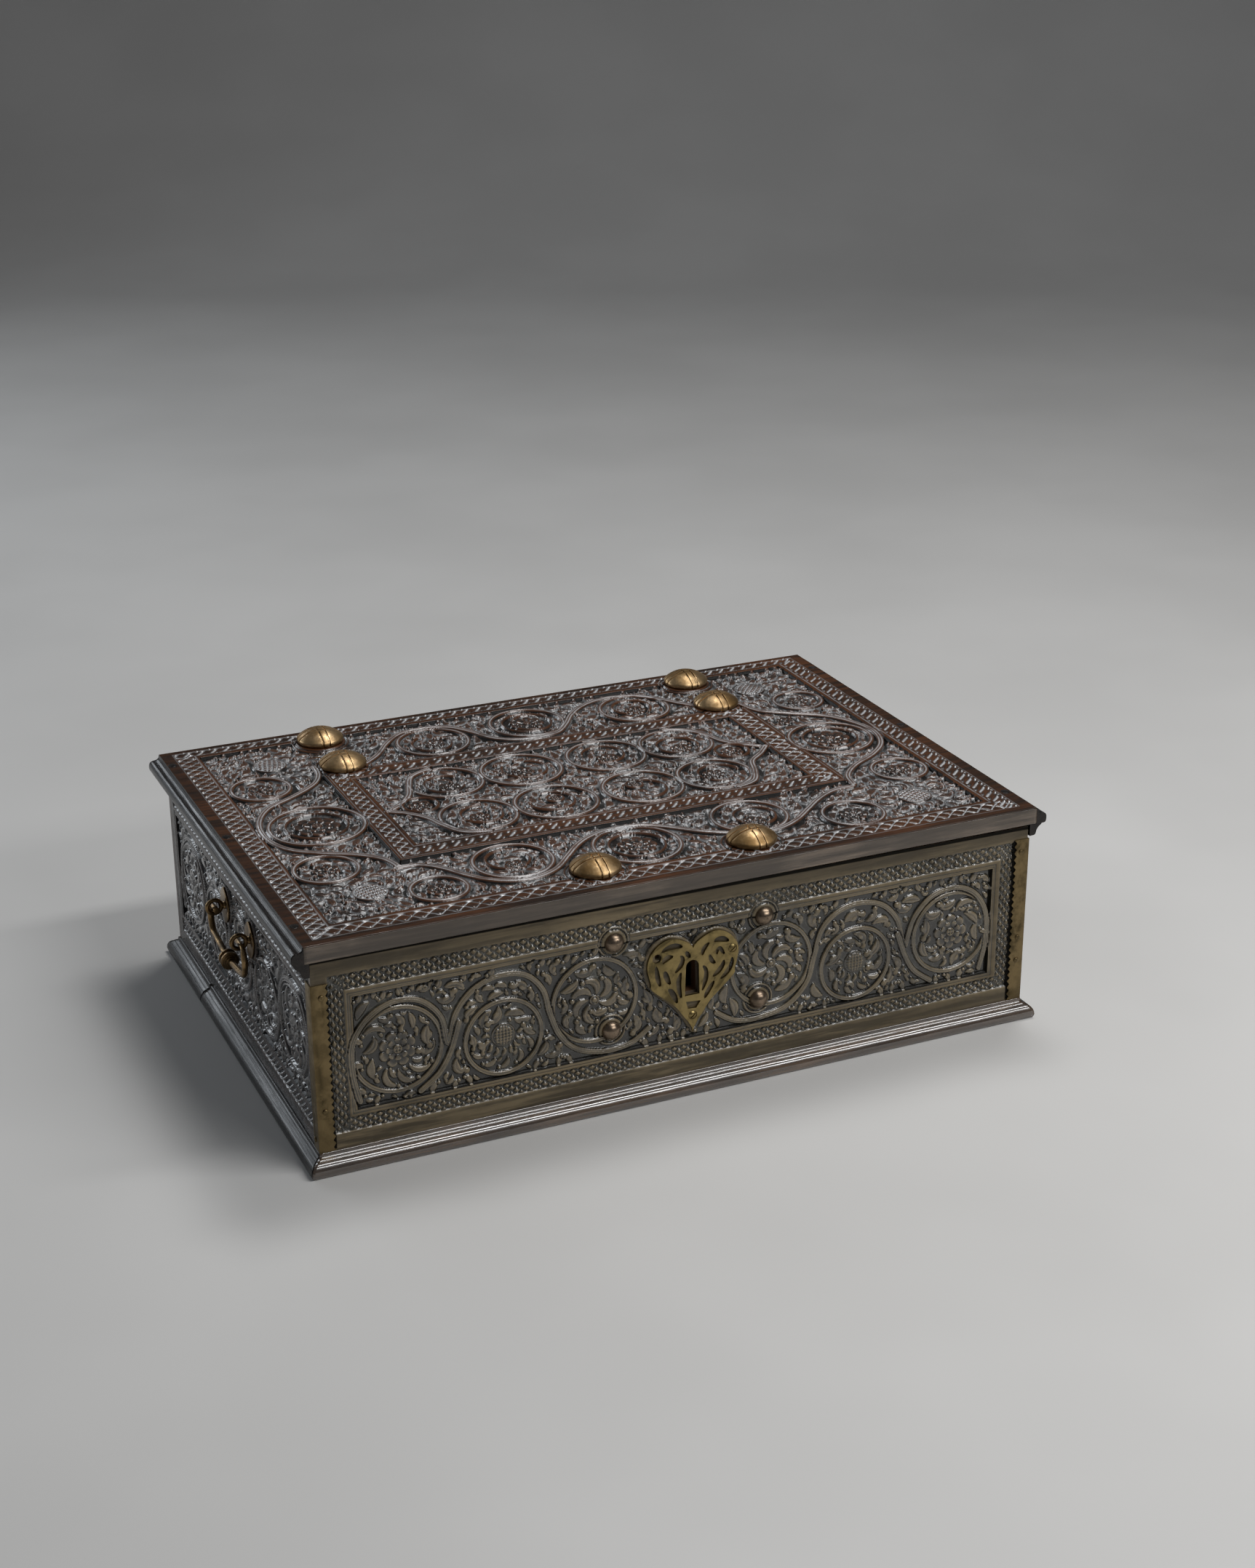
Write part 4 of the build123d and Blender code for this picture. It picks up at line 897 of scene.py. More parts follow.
# Ring scrolls (x, y, radius)
LID_RINGS = (
    (60, 166, 30), (422, 166, 28), (45, 239, 19), (45, 100, 19.5), (436, 240, 17), (436, 97.5, 18),
    (97, 46, 17), (151, 65, 24.5), (229, 56, 27), (311, 67, 24), (372.5, 44, 19.5), (175, 272, 24),
    (246, 279, 25.5), (325, 274, 24), (157.5, 200, 24.5), (210.5, 200, 26.5), (271, 200, 26),
    (322.5, 200, 24.5), (157.5, 140, 24.5), (210.5, 140, 26.5), (271, 140, 26), (322.5, 140, 24.5),
)
LID_STEMS = (
    ((88, 262), (86, 246), (78, 232), (60, 218), (40, 205), (28, 184), (25.8, 160), (33, 139), (49, 125),
     (68, 114), (81, 101), (86, 86)),
    ((84, 84), (98, 83), (109, 73), (118, 58), (128, 46), (141, 38), (156, 37), (171, 44), (184, 58),
     (198, 73), (213, 82), (230, 85), (247, 81), (260, 71), (273, 59), (288, 49), (303, 43), (320, 42),
     (336, 50), (350, 62), (364, 74), (378, 82), (394, 84)),
    ((396, 86), (400, 101), (413, 115), (434, 128), (449, 144), (455, 166), (450, 188), (438, 206),
     (420, 219), (403, 232), (397, 247), (396, 262)),
    ((122, 254), (134, 266), (146, 283), (160, 296), (177, 299), (194, 294), (205, 280), (214, 263),
     (227, 253), (243, 250), (259, 254), (270, 266), (281, 282), (296, 295), (314, 301), (333, 298),
     (347, 286), (358, 270), (368, 258)),
    ((108, 169), (118, 176), (128, 188), (134, 204), (141, 219), (155, 226.5)),
    ((108, 169), (118, 161), (127, 149), (132, 134), (140, 119), (155, 112.8)),
    ((375, 170), (365, 178), (354, 190), (348, 206), (340, 220), (326, 226.5)),
    ((375, 170), (366, 160), (355, 150), (349, 134), (341, 119), (327, 112.8)),
)
# Rosettes (x, y, radius, petals): large ones inside a thin ring, then small ones
LARGE_ROSETTES = ((60, 166, 15, 8), (422, 166, 14, 8), (229, 56, 13, 9), (246, 279, 12.5, 9))
SMALL_ROSETTES = (
    (130, 171, 8.5, 6), (351, 172.5, 8.5, 6), (45, 239, 9, 6), (45, 100, 9, 7), (436, 240, 8, 6),
    (436, 97.5, 9, 7), (97, 46, 8.5, 6), (372.5, 44, 10, 7), (410, 209, 6.5, 6), (311, 60, 8, 7),
    (157.5, 193, 8, 6), (322.5, 192, 8, 7), (157.5, 138, 7.5, 6), (322.5, 141, 8, 7), (210.5, 198, 8.5, 7),
    (271, 196, 8.5, 7), (151, 60, 8, 6), (175, 270, 8, 6), (325, 272, 8, 7),
)
LID_PODS = ((62.5, 277.5, 75), (59, 59, 195), (422.5, 54, -60), (416, 276, 50))
# Lengths of the leaves that fill the free ground, in millimetres
LID_LEAF_SIZES = (10.5, 8.6, 7.2, 6.0, 4.8, 3.6)
PANEL_LEAF_SIZES = (12.0, 10.0, 8.2, 6.6, 5.2, 4.2)


def lid_ground():
    """The lid's sunk field with its raised and sunk centre, the borders and the seats of the bosses."""
    r = Relief(0, 0, LID_W, LID_D, -2.7, 0.5)
    r.sink(*LID_FIELD)
    r.lift(89, 92, 396, 245)
    r.sink(*LID_CENTRE)
    for band in LID_BANDS:
        r.band(*band, 1.25)
    for inset in (8, 21.3):
        r.outline(inset, inset, LID_W - inset, LID_D - inset * 0.55, 0.45, 0.5)
    r.outline(91, 94.5, 394, 243, 0.45, 0.5)
    r.outline(103.5, 108.8, 378, 229.8, 0.45, 0.5)
    seats = [(x, y) for x in HINGE_XS for y in HINGE_YS] + [(x, CATCH_Y) for x in CATCH_XS]
    for x, y in seats:
        r.pad(x + LID_W / 2, y - LID_FRONT, 16.6)
    return r


def lid_scrolls(r):
    """Rings and winding stems, with what stands at the rings' centres."""
    for k, (x, y, rad) in enumerate(LID_RINGS):
        r.centres.append((x, y, rad))
        start = 40 + 97 * k
        r.stem(circle(x, y, rad, start, 360), 1.9, 1)
        if rad > 21 and k not in (0, 1, 8):
            r.stem(circle(x + 3 * math.cos(k * 2.1), y + 3.5 * math.sin(k * 2.1), rad * 0.6, start + 90,
                          285, 0.14), 1.25, taper=0.3)
    for pts in LID_STEMS:
        r.stem(curve(pts), 2.6, 2)
    for x, y, rad, n in LARGE_ROSETTES:
        r.stem(circle(x, y, rad + 4.6), 0.9)
        r.rosette(x, y, rad, n, 10)
    for x, y, rad, n in SMALL_ROSETTES:
        r.rosette(x, y, rad, n, x)
    for x, y in ((212, 146), (267.5, 146)):
        r.button(x, y, 6.8, hatch=True)
    for x, y, rad, n in SMALL_ROSETTES[:2]:
        r.stem(circle(x, y, 11.5), 1.2)
    for x, y, angle in LID_PODS:
        r.pod(x, y, 11.5, angle)


def lid_leaves(r):
    """Leaves inside the rings, along the fields' sides and over what is left free."""
    inner = {0: 21.6, 1: 20.6, 8: 19.6, 16: 19.1}
    for k, (x, y, rad) in enumerate(LID_RINGS):
        way = 1 if k % 2 else -1
        if k in inner:
            r.swirl(x, y, inner[k], rad - 3.2, int(rad * 0.52), way, 1.9, 11 * k)
        elif rad > 21:
            r.swirl(x, y, rad * 0.62 + 1.8, rad - 3.0, 12, way, 1.9, 17 * k)
            r.swirl(x, y, 9.0, rad * 0.5, 7, -way, 1.5, 29 * k)
        else:
            r.swirl(x, y, 10.6, rad - 2.8, 10, way, 1.6, 13 * k)
    r.fringe(*LID_FIELD, 6.3, 5.0, 1.8, 5)
    r.fringe(*LID_CENTRE, 6.3, 5.0, 1.8, 6)
    t = np.linspace(0, 5, 6)
    for k in range(0, 46, 2):
        for x, way in ((88.6, -1), (396.4, 1)):
            r.leaf([(x + way * q, 93.5 + k * 3.35 + 2.4 * (q / 5) ** 2) for q in t], 1.7, -0.35, k % 4 == 0)
    for k in range(0, 95, 2):
        for y, way in ((91.6, -1), (245.4, 1)):
            r.leaf([(90 + k * 3.2 + 2.4 * (q / 5) ** 2, y + way * q) for q in t], 1.7, -0.35, k % 4 == 0)
    r.fill(24, 26, 456, 307, LID_LEAF_SIZES, 1.0, 3)


lid = lid_ground()
lid_scrolls(lid)
lid_leaves(lid)
lid.finish(21)
lid.hem(2.5)
lid.meshes("lid_carving", lambda X, Y, H: (X - LID_W / 2, Y + LID_FRONT, LID_TOP + H), 4, 2, "lid", LID_WOOD,
           "lid_board")

# Lid body: moulded ends, front and back edges, underside
LID_END = ((0, 0), (0.35, -0.9), (0.5, -1.7), (0.9, -2.4), (1.6, -3.0), (2.6, -3.4), (3.8, -3.65), (4.8, -3.75),
           (5.8, -4.1), (6.6, -4.8), (7.1, -5.7), (7.3, -6.8), (7.3, -8.2), (7.2, -9.5), (6.85, -10.3),
           (6.0, -10.8), (0, -10.8))
LID_EDGE = ((-1.2, 0), (-0.5, -0.05), (-0.15, -0.25), (0, -0.8), (0, -5.5), (0, -10.2), (-0.4, -10.8),
            (-1.4, -10.8))
for s, tag in ((-1, "left"), (1, "right")):
    sweep(f"lid_end_{tag}", LID_END,
          lambda A, O, U, s=s: (s * (LID_W / 2 + O), A + (LID_FRONT + LID_BACK) / 2, LID_TOP + U),
          LID_BACK - LID_FRONT, (0, 0), "lid", "carved_wood", EDGE_Y, "lid_board", 31 + s, 0.07, 0.18)
for y, s, tag in ((LID_FRONT, -1, "front"), (LID_BACK, 1, "back")):
    sweep(f"lid_edge_{tag}", LID_EDGE, lambda A, O, U, y=y, s=s: (A, y + s * O, LID_TOP + U),
          LID_W, (0, 0), "lid", "carved_wood", EDGE_X, "lid_board", 41 + s, 0.1, 0.12)
block("lid_core", (-240.5, LID_FRONT + 0.6, LID_BOTTOM + 0.02), (240.5, LID_BACK - 0.6, LID_TOP - 3.6),
      "lid", "carved_wood", INSIDE_WOOD, "lid_board")

# Front panel: x is laid out with the panel's middle at 243.3 mm; F measures it from the panel's left end
FRONT_SHIFT = 243.3 - HALF_W
# Heights of the crossed-groove bands above and below the field, on the front and the sides
BAND_HEIGHTS = ((114, 124.2), (22.8, 31.8))
FRONT_RINGS = ((57, 69, 27), (122.5, 62.5, 24), (181, 74, 27), (299, 74, 27), (358, 62, 24), (426.5, 70, 27))
FRONT_STEMS = (
    ((33, 40), (29.5, 58), (30, 78), (40, 93), (56, 100), (72, 97), (84, 84), (88, 66), (93, 84), (104, 97),
     (120, 103), (137, 100), (148, 88), (152, 72), (158, 56), (169, 44), (186, 38.6), (204, 40), (217, 48)),
    ((70, 38.6), (82, 48), (90, 62), (95, 78)),
    ((262, 48), (275, 40), (292, 38.6), (311, 43), (324, 56), (329, 73), (334, 90), (345, 100), (361, 103),
     (377, 98), (388, 85), (393, 66), (399, 84), (411, 97), (428, 100.5), (443, 94), (452, 79), (453, 58),
     (449, 40)),
    ((413, 38.6), (401, 48), (394, 60), (388, 76)),
)
# Right half of the seat round the heart escutcheon
HEART_SEAT = ((0, 98.4), (5.5, 104.0), (16.6, 107.0), (28.1, 100.6), (31.9, 88.0), (29.6, 77.0), (24.0, 68.6),
              (14.8, 60.5), (7.6, 51.5), (0, 38.4))


def F(x):
    """A laid out x as a distance from the panel's left end."""
    return x - FRONT_SHIFT


FRONT_FIELD = (F(31), 36, F(454.5), 108.5)


def front_top(x):
    """Height of the panel's top, which slopes down to the right."""
    return FRONT_TOP_LEFT + (FRONT_TOP_RIGHT - FRONT_TOP_LEFT) * x / CASE_W


def front_ground():
    """The front's sunk field, the grooved bands round it and the seats of the lock nails."""
    r = Relief(0, PANEL_BASE, CASE_W, LID_BOTTOM, -2.6, 0.42)
    r.sink(*FRONT_FIELD)
    for z0, z1 in BAND_HEIGHTS:
        r.band(F(17), z0, F(470), z1, "diamond", 6.1, 1.9)
    for x0, x1 in ((17, 26), (461, 470)):
        r.band(F(x0), 22.8, F(x1), 124.2, "diamond", 6.1, 1.9)
    for x0, y0, x1, y1 in ((28, 33.6, 457.2, 111.2), (29.3, 35, 455.8, 109.8)):
        r.outline(F(x0), y0, F(x1), y1, 0.7, 0.5)
    for x, z in LOCK_NAILS:
        r.pad(x + HALF_W, z, 7.4)
    return r


def seat_heart(r):
    """Leaves the wood flat under the escutcheon: a point is inside where it is left of an odd number of sides."""
    halves = [curve([(s * x, z) for x, z in HEART_SEAT]) for s in (-1, 1)]
    px, pz = (np.concatenate([halves[0], halves[1][::-1]]) + np.array([HEART_X + HALF_W, 0])).T
    w, X, Y = r.window(200, 36, 275, 110)
    inside = np.zeros(X.shape, bool)
    for xa, za, xb, zb in zip(px[:-1], pz[:-1], px[1:], pz[1:]):
        if abs(zb - za) > 1e-9:
            inside ^= ((za > Y) != (zb > Y)) & (X < (xb - xa) * (Y - za) / (zb - za) + xa)
    r.carve(w, inside, -0.05)
    r.busy[w] |= inside


def front_foliage(r):
    """Rings, winding stems, rosettes, pods and leaves of the front."""
    for k, (x, z, rad) in enumerate(FRONT_RINGS):
        r.centres.append((F(x), z, rad))
        r.stem(circle(F(x), z, rad, 30 + 77 * k, 360), 1.5, 1)
    for pts in FRONT_STEMS:
        r.stem(curve([(F(a), b) for a, b in pts]), 1.9, 2)
    r.rosette(F(57), 69, 12, 8, 0)
    r.rosette(F(426.5), 70, 12, 8, 20)
    r.swirl(F(57), 69, 14.2, 24.0, 12, 1, 2.3)
    r.swirl(F(426.5), 70, 14.2, 24.0, 12, -1, 2.3, 14)
    for x, z, way in ((122.5, 63.5, -1), (358, 63, 1)):
        r.pod(F(x), z, 7.6, -90)
        r.swirl(F(x), z, 15.6, 21.2, 12, way, 1.9, 10)
    for x, way in ((181, 1), (299, -1)):
        r.button(F(x), 74, 3.4)
        r.swirl(F(x), 74, 4.4, 14.5, 7, way, 2.7, 20)
        r.swirl(F(x), 74, 16.2, 24.2, 11, way, 2.5, 5)
    r.fringe(*FRONT_FIELD, 8.0, 6.0, 2.2, 7)
    r.fill(F(31.5), 36.5, F(454), 108, PANEL_LEAF_SIZES, 1.2, 5)


def front_shadows(r, X, Z):
    """Black ground under the lid and behind the teeth of the corner strips."""
    lip = front_top(X) - Z
    r.tone = np.where(lip < 2.4, np.minimum(r.tone, -unit(2.4 - lip)), r.tone)
    strip_top = np.where(X < HALF_W, 120.0, 125.2)
    dark = unit(10.6 - np.minimum(X, CASE_W - X)) * (Z < strip_top) * (Z > 13.4)
    r.tone = np.where(dark > 0, np.minimum(r.tone, -dark), r.tone)


front = front_ground()
seat_heart(front)
front_foliage(front)
front.finish(51)
FX, FZ = front.hem(2.5)
from_key = np.abs(FX - HALF_W - KEYHOLE_X)
keyhole = (np.hypot(from_key, FZ - KEYHOLE_Z) < 4.0) | ((from_key < 4.2) & (FZ > 66) & (FZ < KEYHOLE_Z))
screw_hole = np.hypot(FX - HALF_W - EMPTY_X, FZ - EMPTY_Z) < 2.0
front.h = np.where(screw_hole, -6.0, front.h)
front_shadows(front, FX, FZ)
front.meshes("front_carving", lambda X, Z, H: (X - HALF_W, -HALF_D - H, np.minimum(Z, front_top(X))), 5, 1,
             "case", FRONT_WOOD, "front_panel", keyhole)

key_loop = [(KEYHOLE_X + 4.2 * math.cos(a), KEYHOLE_Z + 4.2 * math.sin(a)) for a in np.linspace(0, math.pi, 13)]
key_loop += [(KEYHOLE_X - 4.7, 65.8), (KEYHOLE_X + 4.7, 65.8)]
screw_loop = [(EMPTY_X + 2.3 * math.cos(a), EMPTY_Z + 2.3 * math.sin(a))
              for a in np.linspace(0, 2 * math.pi, 17)[:-1]]
for name, loops, y0, y1, material in (
    ("front_core", ([(-HALF_W + 0.02, 10), (HALF_W - 0.02, 10), (HALF_W - 0.02, FRONT_TOP_RIGHT),
                     (-HALF_W + 0.02, FRONT_TOP_LEFT)], key_loop, screw_loop), 3.3, 4, EDGE_X),
    ("front_back", ([(-HALF_W + 10, 10), (HALF_W - 10, 10), (HALF_W - 10, FRONT_TOP_RIGHT - 0.04),
                     (-HALF_W + 10, FRONT_TOP_LEFT - 0.04)], key_loop), 4, 10, INSIDE_WOOD),
    ("front_top_rim", ([(-HALF_W, FRONT_TOP_LEFT), (-HALF_W, FRONT_TOP_LEFT - 6),
                        (HALF_W, FRONT_TOP_RIGHT - 6), (HALF_W, FRONT_TOP_RIGHT)],), 0.35, 3.4, EDGE_X),
):
    outline_plate(name, loops, -HALF_D + y0, -HALF_D + y1, "case", "carved_wood", material, "front_panel")
for s in (-1, 1):
    inner = s * HALF_W - 0.4 * s
    block(f"front_end_{s + 1}", (inner - 0.4, -HALF_D + 0.35, 10), (inner + 0.4, -HALF_D + 4, FRONT_TOP_RIGHT - 1),
          "case", "carved_wood", EDGE_X, "front_panel")

# Side panels, measured along the face from its left end as seen from outside
SIDE_L = 310
SIDE_FIELD = (11, 36, 299, 108.6)
SIDE_RINGS = ((42, 72, 27), (100, 66, 24), (155, 72, 24), (212, 66, 24), (268, 72, 27))
SIDE_STEM = ((14, 44), (13, 66), (18, 88), (33, 101), (52, 101), (68, 92), (76, 74), (84, 54), (97, 41.5),
             (113, 43), (124, 55), (131, 74), (138, 92), (152, 100), (168, 97), (179, 82), (186, 62),
             (197, 45), (212, 41), (227, 46), (236, 60), (240, 80), (250, 96), (268, 102), (286, 98),
             (296, 84), (298, 64), (296, 44))


def side_relief(seed, handle_x):
    """The carving of one side, with plain seats under the handle's oval plates."""
    r = Relief(0, PANEL_BASE, SIDE_L, CASE_TOP, -2.4, 0.6)
    r.sink(*SIDE_FIELD)
    for z0, z1 in BAND_HEIGHTS:
        r.band(7, z0, 303, z1, "diamond", 6.1, 1.8)
    r.outline(8, 33.6, 302, 111.2, 0.7, 0.5)
    for k, (x, z, rad) in enumerate(SIDE_RINGS):
        r.centres.append((x, z, rad))
        r.stem(circle(x, z, rad, 30 + 77 * k, 360), 1.7, 1)
    r.stem(curve(SIDE_STEM), 2.1, 2)
    for x in (handle_x - EYE_Y, handle_x + EYE_Y):
        w, X, Y = r.window(x - 14, 76, x + 14, 112)
        seat = np.hypot((X - x) / 10.6, (Y - EYE_Z) / 14.0) < 1
        r.carve(w, seat, 0.0)
        r.busy[w] |= seat
    for k, (x, z, rad) in enumerate(SIDE_RINGS):
        size = 10 if k in (0, 4) else 8
        r.rosette(x, z, size, 8, seed * 9)
        r.swirl(x, z, size + 2.6, rad - 3.2, 11, 1 if k % 2 else -1, 2.1, 20 * k)
    r.fringe(*SIDE_FIELD, 8.0, 6.0, 2.2, seed)
    r.fill(11.5, 36.5, 298.5, 108, PANEL_LEAF_SIZES, 1.2, seed)
    r.finish(seed * 10)
    r.hem(2.0)
    return r


for s, tag, seed in ((-1, "left", 7), (1, "right", 8)):
    side_relief(seed, SIDE_L / 2 + s * HANDLE_Y).meshes(
        f"{tag}_carving", lambda X, Z, H, s=s: (s * (HALF_W + H), s * (X - SIDE_L / 2), Z), 2, 1, "case",
        SIDE_WOOD, f"{tag}_panel")
for s, tag in ((-1, "left"), (1, "right")):
    for part, x0, x1, z0, z1, material in (("core", 3.2, 10, 10, CASE_TOP, INSIDE_WOOD),
                                           ("top_rim", 0.3, 3.3, CASE_TOP - 6, CASE_TOP - 0.01, EDGE_Y)):
        xa, xb = sorted((s * (HALF_W - x0), s * (HALF_W - x1)))
        block(f"{tag}_{part}", (xa, -SIDE_L / 2, z0), (xb, SIDE_L / 2, z1), "case", "carved_wood", material,
              f"{tag}_panel")

# Mouldings
BASE = ((0, 12.8), (0.9, 12.8), (1.1, 12.2), (1.2, 11.6), (1.35, 10.9), (1.8, 10.4), (2.4, 10.1), (3.2, 9.9),
        (3.5, 9.4), (4.6, 8.95), (5.6, 8.3), (6.4, 7.5), (7.05, 6.5), (7.55, 5.4), (7.85, 4.2), (8.0, 3.0),
        (7.85, 1.9), (7.5, 0.9), (6.9, 0.0), (0, 0.0))
BATTEN = ((0, 0), (8.6, 0), (8.6, -1.6), (7.7, -2.3), (6.7, -3.0), (5.9, -3.9), (5.3, -4.8), (4.85, -5.8),
          (4.6, -7.0), (4.3, -7.9), (3.9, -8.5), (3.2, -8.8), (0, -8.8))
for k, (tag, at, length, mitre, material) in enumerate((
    ("front", lambda A, O, U: (A, -HALF_D - O, U), CASE_W, (1, 1), BASE_X),
    ("back", lambda A, O, U: (A, HALF_D + O, U), CASE_W, (1, 1), EDGE_X),
    ("right", lambda A, O, U: (HALF_W + O, A, U), CASE_D, (1, 1), EDGE_Y),
    ("left_front", lambda A, O, U: (-HALF_W - O, A + (LEFT_JOINT_Y - HALF_D) / 2, U),
     LEFT_JOINT_Y + HALF_D - 0.2, (1, 0), EDGE_Y),
    ("left_rear", lambda A, O, U: (-HALF_W - O, A + (LEFT_JOINT_Y + HALF_D) / 2, U),
     HALF_D - LEFT_JOINT_Y - 0.2, (0, 1), EDGE_Y),
)):
    sweep(f"base_{tag}_run", BASE, at, length, mitre, "case", "plain_wood", material, f"base_moulding_{tag}",
          61 + k, 0.05, 0.1)
for s, tag, y0 in ((-1, "left", LID_FRONT + 0.8), (1, "right", LID_FRONT + 2.4)):
    sweep(f"lid_batten_{tag}", BATTEN,
          lambda A, O, U, s=s, y0=y0: (s * (237.1 + O), A + (y0 + LID_BACK) / 2, LID_BOTTOM + U),
          LID_BACK - y0, (0, 0), "lid", "plain_wood", EDGE_Y, f"lid_moulding_{tag}", 71 + s)

# The other pieces: the CAD shapes with their edges rounded by so many millimetres
for nodes, width, slot, material in (
    ("bottom_board", 0.4, "plain_wood", BACK_WOOD),
    ("back_panel", 0.5, "carved_wood", BACK_WOOD),
    ("lid_plugs", 0.3, "plain_wood", EDGE_Y),
    ("escutcheon", 0.28, "old_brass", HEART_BRASS),
    ("escutcheon_screws", 0.15, "old_brass", HEART_BRASS),
    ("corner_strip_left corner_strip_right", 0.2, "old_brass", STRIP_BRASS),
    ("corner_strip_nails", 0.1, "old_brass", STRIP_BRASS),
    ("hinge_bosses catch_bosses", 0.2, "old_brass", BOSS_BRASS),
    ("handle_plates_left handle_plates_right", 0.25, "old_brass", BRASS),
    ("handle_bail_left handle_bail_right", 0.2, "old_brass", BRASS),
    ("hinge_lid_strap_left hinge_lid_strap_right hinge_case_strap_left hinge_case_strap_right", 0.25,
     "old_brass", STRIP_BRASS),
    ("hinge_pins hinge_case_rivets", 0.1, "old_brass", STRIP_BRASS),
    ("catch_plate", 0.25, "old_brass", STRIP_BRASS),
    ("lock_plate", 0.2, "old_brass", STRIP_BRASS),
    ("lock_case", 0.3, "old_brass", STRIP_BRASS),
    ("lock_nails", 0.1, "dark_iron", IRON),
    ("lock_bolt", 0.3, "dark_iron", IRON),
    ("lock_spring", 0.0, "dark_iron", IRON),
    ("catch_staple", 0.3, "dark_iron", IRON),
    ("batten_nails", 0.0, "dark_iron", IRON),
):
    for node in nodes.split():
        softened(node, width, slot, material, open_by=0.55 if node == "escutcheon" else 0.0,
                 crease=20 if material is BACK_WOOD else 38)


def tube(bm, rows):
    """Faces round and between closed rows of vertices."""
    for row, following in rows:
        for j in range(len(row)):
            k = (j + 1) % len(row)
            bm.faces.new((row[j], following[j], following[k], row[k]))


def eye_bolts(tag, s):
    """Two uneven rings on shanks that pass through the panel and spread inside it."""
    bm = bmesh.new()

    def vert(x, y, z):
        return bm.verts.new(Vector((x, y, z)) * MM)

    for e in (-1, 1):
        y = HANDLE_Y + e * EYE_Y
        ring = []
        for a in np.arange(40) * 2 * math.pi / 40:
            wire = 1.42 + 0.1 * math.cos(2 * a) + 0.06 * math.sin(5 * a + e)
            out = [(4.5 + wire * math.cos(b), wire * math.sin(b)) for b in np.arange(16) * 2 * math.pi / 16]
            ring.append([vert(s * EYE_X + q * math.cos(a), y + v, EYE_Z + q * math.sin(a)) for q, v in out])
        tube(bm, zip(ring, ring[1:] + ring[:1]))
        for x0, x1, r0, r1 in ((-10.4, 3.4, 1.6, 1.6), (1.02, 1.9, 2.6, 2.0)):
            ends = [[vert(s * (HALF_W + x), y + r * math.cos(t), EYE_Z + r * math.sin(t))
                     for t in np.linspace(0, 2 * math.pi, 21)[:-1]] for x, r in ((x0, r0), (x1, r1))]
            tube(bm, [ends])
            for end in ends:
                bm.faces.new(end)
        for v in bmesh.ops.create_cube(bm, size=1.0)["verts"]:
            v.co = Vector((s * (HALF_W - 10.6) + v.co.x * 1.1, y + v.co.y * 3.1, EYE_Z + v.co.z * 12.8)) * MM
    bmesh.ops.recalc_face_normals(bm, faces=bm.faces)
    smooth_piece(f"eyes_{tag}", mesh_of(bm, f"eyes_{tag}"), 40, "case", "old_brass", BRASS, f"handle_eyes_{tag}")


eye_bolts("left", -1)
eye_bolts("right", 1)

# Floor: flat under the box, then curved up into a backdrop that faces the camera
CAMERA_YAW, CAMERA_PITCH, CAMERA_ROLL = (math.radians(a) for a in (23.957, -22.179, -0.347))
floor_mat = Mat("floor")
cloud = floor_mat.noise(3.0, 3, 0.5)
floor_mat.set("Base Color", floor_mat.mix(floor_mat.ramp(cloud, 0.3, 0.7), *colours("c2c1bf c8c7c5")))
floor_mat.set("Roughness", floor_mat.ramp(cloud, 0.3, 0.7, 0.6, 0.66))
floor_mat.set("Normal", floor_mat.bump(floor_mat.noise(300, 2, 0.5), 0.05, 0.0003))
bend = [(2.4 + 1.4 * math.sin(a), 1.4 - 1.4 * math.cos(a)) for a in np.linspace(0, math.pi / 2, 40)]
section = [(-6.0, 0.0), *bend, (3.8, 6.0)]
count = len(section)
floor = raw_mesh("floor", np.array([(x, y, z) for x in (-9.0, 9.0) for y, z in section]),
                 np.array([(i, i + count, i + count + 1, i + 1) for i in range(count - 1)]))
floor.data.materials.append(floor_mat.m)
floor.matrix_world = Matrix.Rotation(-CAMERA_YAW, 4, "Z")

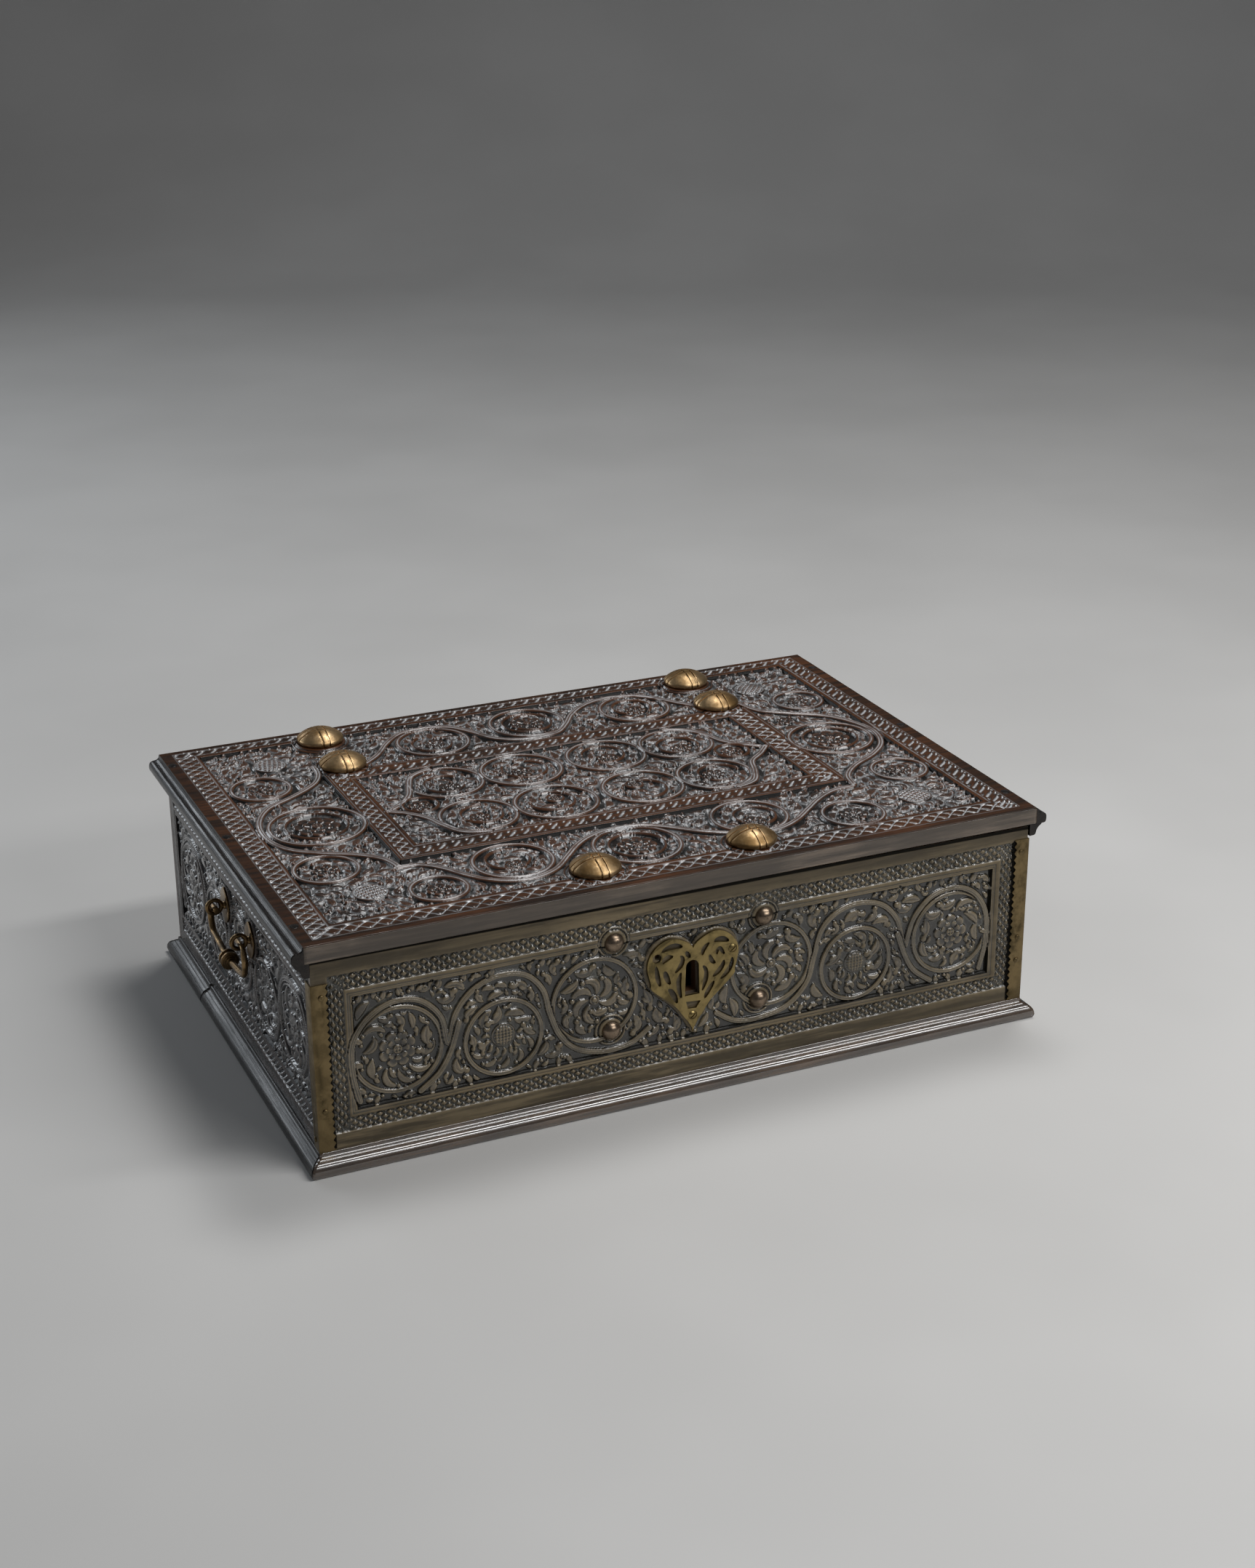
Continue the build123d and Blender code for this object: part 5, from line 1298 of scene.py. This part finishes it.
# Lights: a soft key, and long strips for the glints of the carving
scene = bpy.context.scene
scene.world = bpy.data.worlds.new("studio")
scene.world.use_nodes = True
background = scene.world.node_tree.nodes["Background"]
background.inputs["Color"].default_value = (0.62, 0.64, 0.68, 1)
background.inputs["Strength"].default_value = 0.12


def area(name, loc, target, size, power, color=(1, 1, 1)):
    li = bpy.data.lights.new(name, "AREA")
    li.shape = "RECTANGLE"
    li.size, li.size_y = size
    li.energy = power
    li.color = color
    o = add_object(name, li)
    o.location = loc
    o.rotation_euler = (Vector(target) - Vector(loc)).to_track_quat("-Z", "Y").to_euler()


COOL = (0.88, 0.94, 1.0)
area("key", (0.5, 0.42, 1.92), (0, 0, 0.1), (0.7, 0.5), 14)
area("top", (0.72, -0.74, 1.62), (0.72, -0.16, 0.0), (1.3, 0.2), 14)
area("front_strip", (0.72, -1.3, 1.02), (0.72, -0.16, 0.0), (1.3, 0.2), 9)
area("left_back", (-0.78, 2.1, 1.05), (0, 0, 0.05), (0.9, 0.5), 6, COOL)
area("left_low", (-1.5, 1.45, 0.52), (-0.24, 0, 0.07), (0.9, 0.6), 6, COOL)

# Camera: place, direction and lens as solved from the photograph
CAMERA_AT = (-578.7, -1370.0, 750.3)
FOCAL_PIXELS, PHOTO_HEIGHT = 3403.0, 2156
cam_data = bpy.data.cameras.new("camera")
cam_data.sensor_width = 36
cam_data.lens = 36 * FOCAL_PIXELS / PHOTO_HEIGHT
cam_data.dof.use_dof = False
cam_data.clip_end = 50
ahead = Vector((math.sin(CAMERA_YAW) * math.cos(CAMERA_PITCH), math.cos(CAMERA_YAW) * math.cos(CAMERA_PITCH),
                math.sin(CAMERA_PITCH)))
level = Vector((math.cos(CAMERA_YAW), -math.sin(CAMERA_YAW), 0))
upright = level.cross(ahead)
right = level * math.cos(CAMERA_ROLL) + upright * math.sin(CAMERA_ROLL)
up = -level * math.sin(CAMERA_ROLL) + upright * math.cos(CAMERA_ROLL)
scene.camera = add_object("camera", cam_data)
scene.camera.matrix_world = (Matrix.Translation(Vector(CAMERA_AT) * MM)
                             @ Matrix((right, up, -ahead)).transposed().to_4x4())
scene.view_settings.view_transform = "Standard"
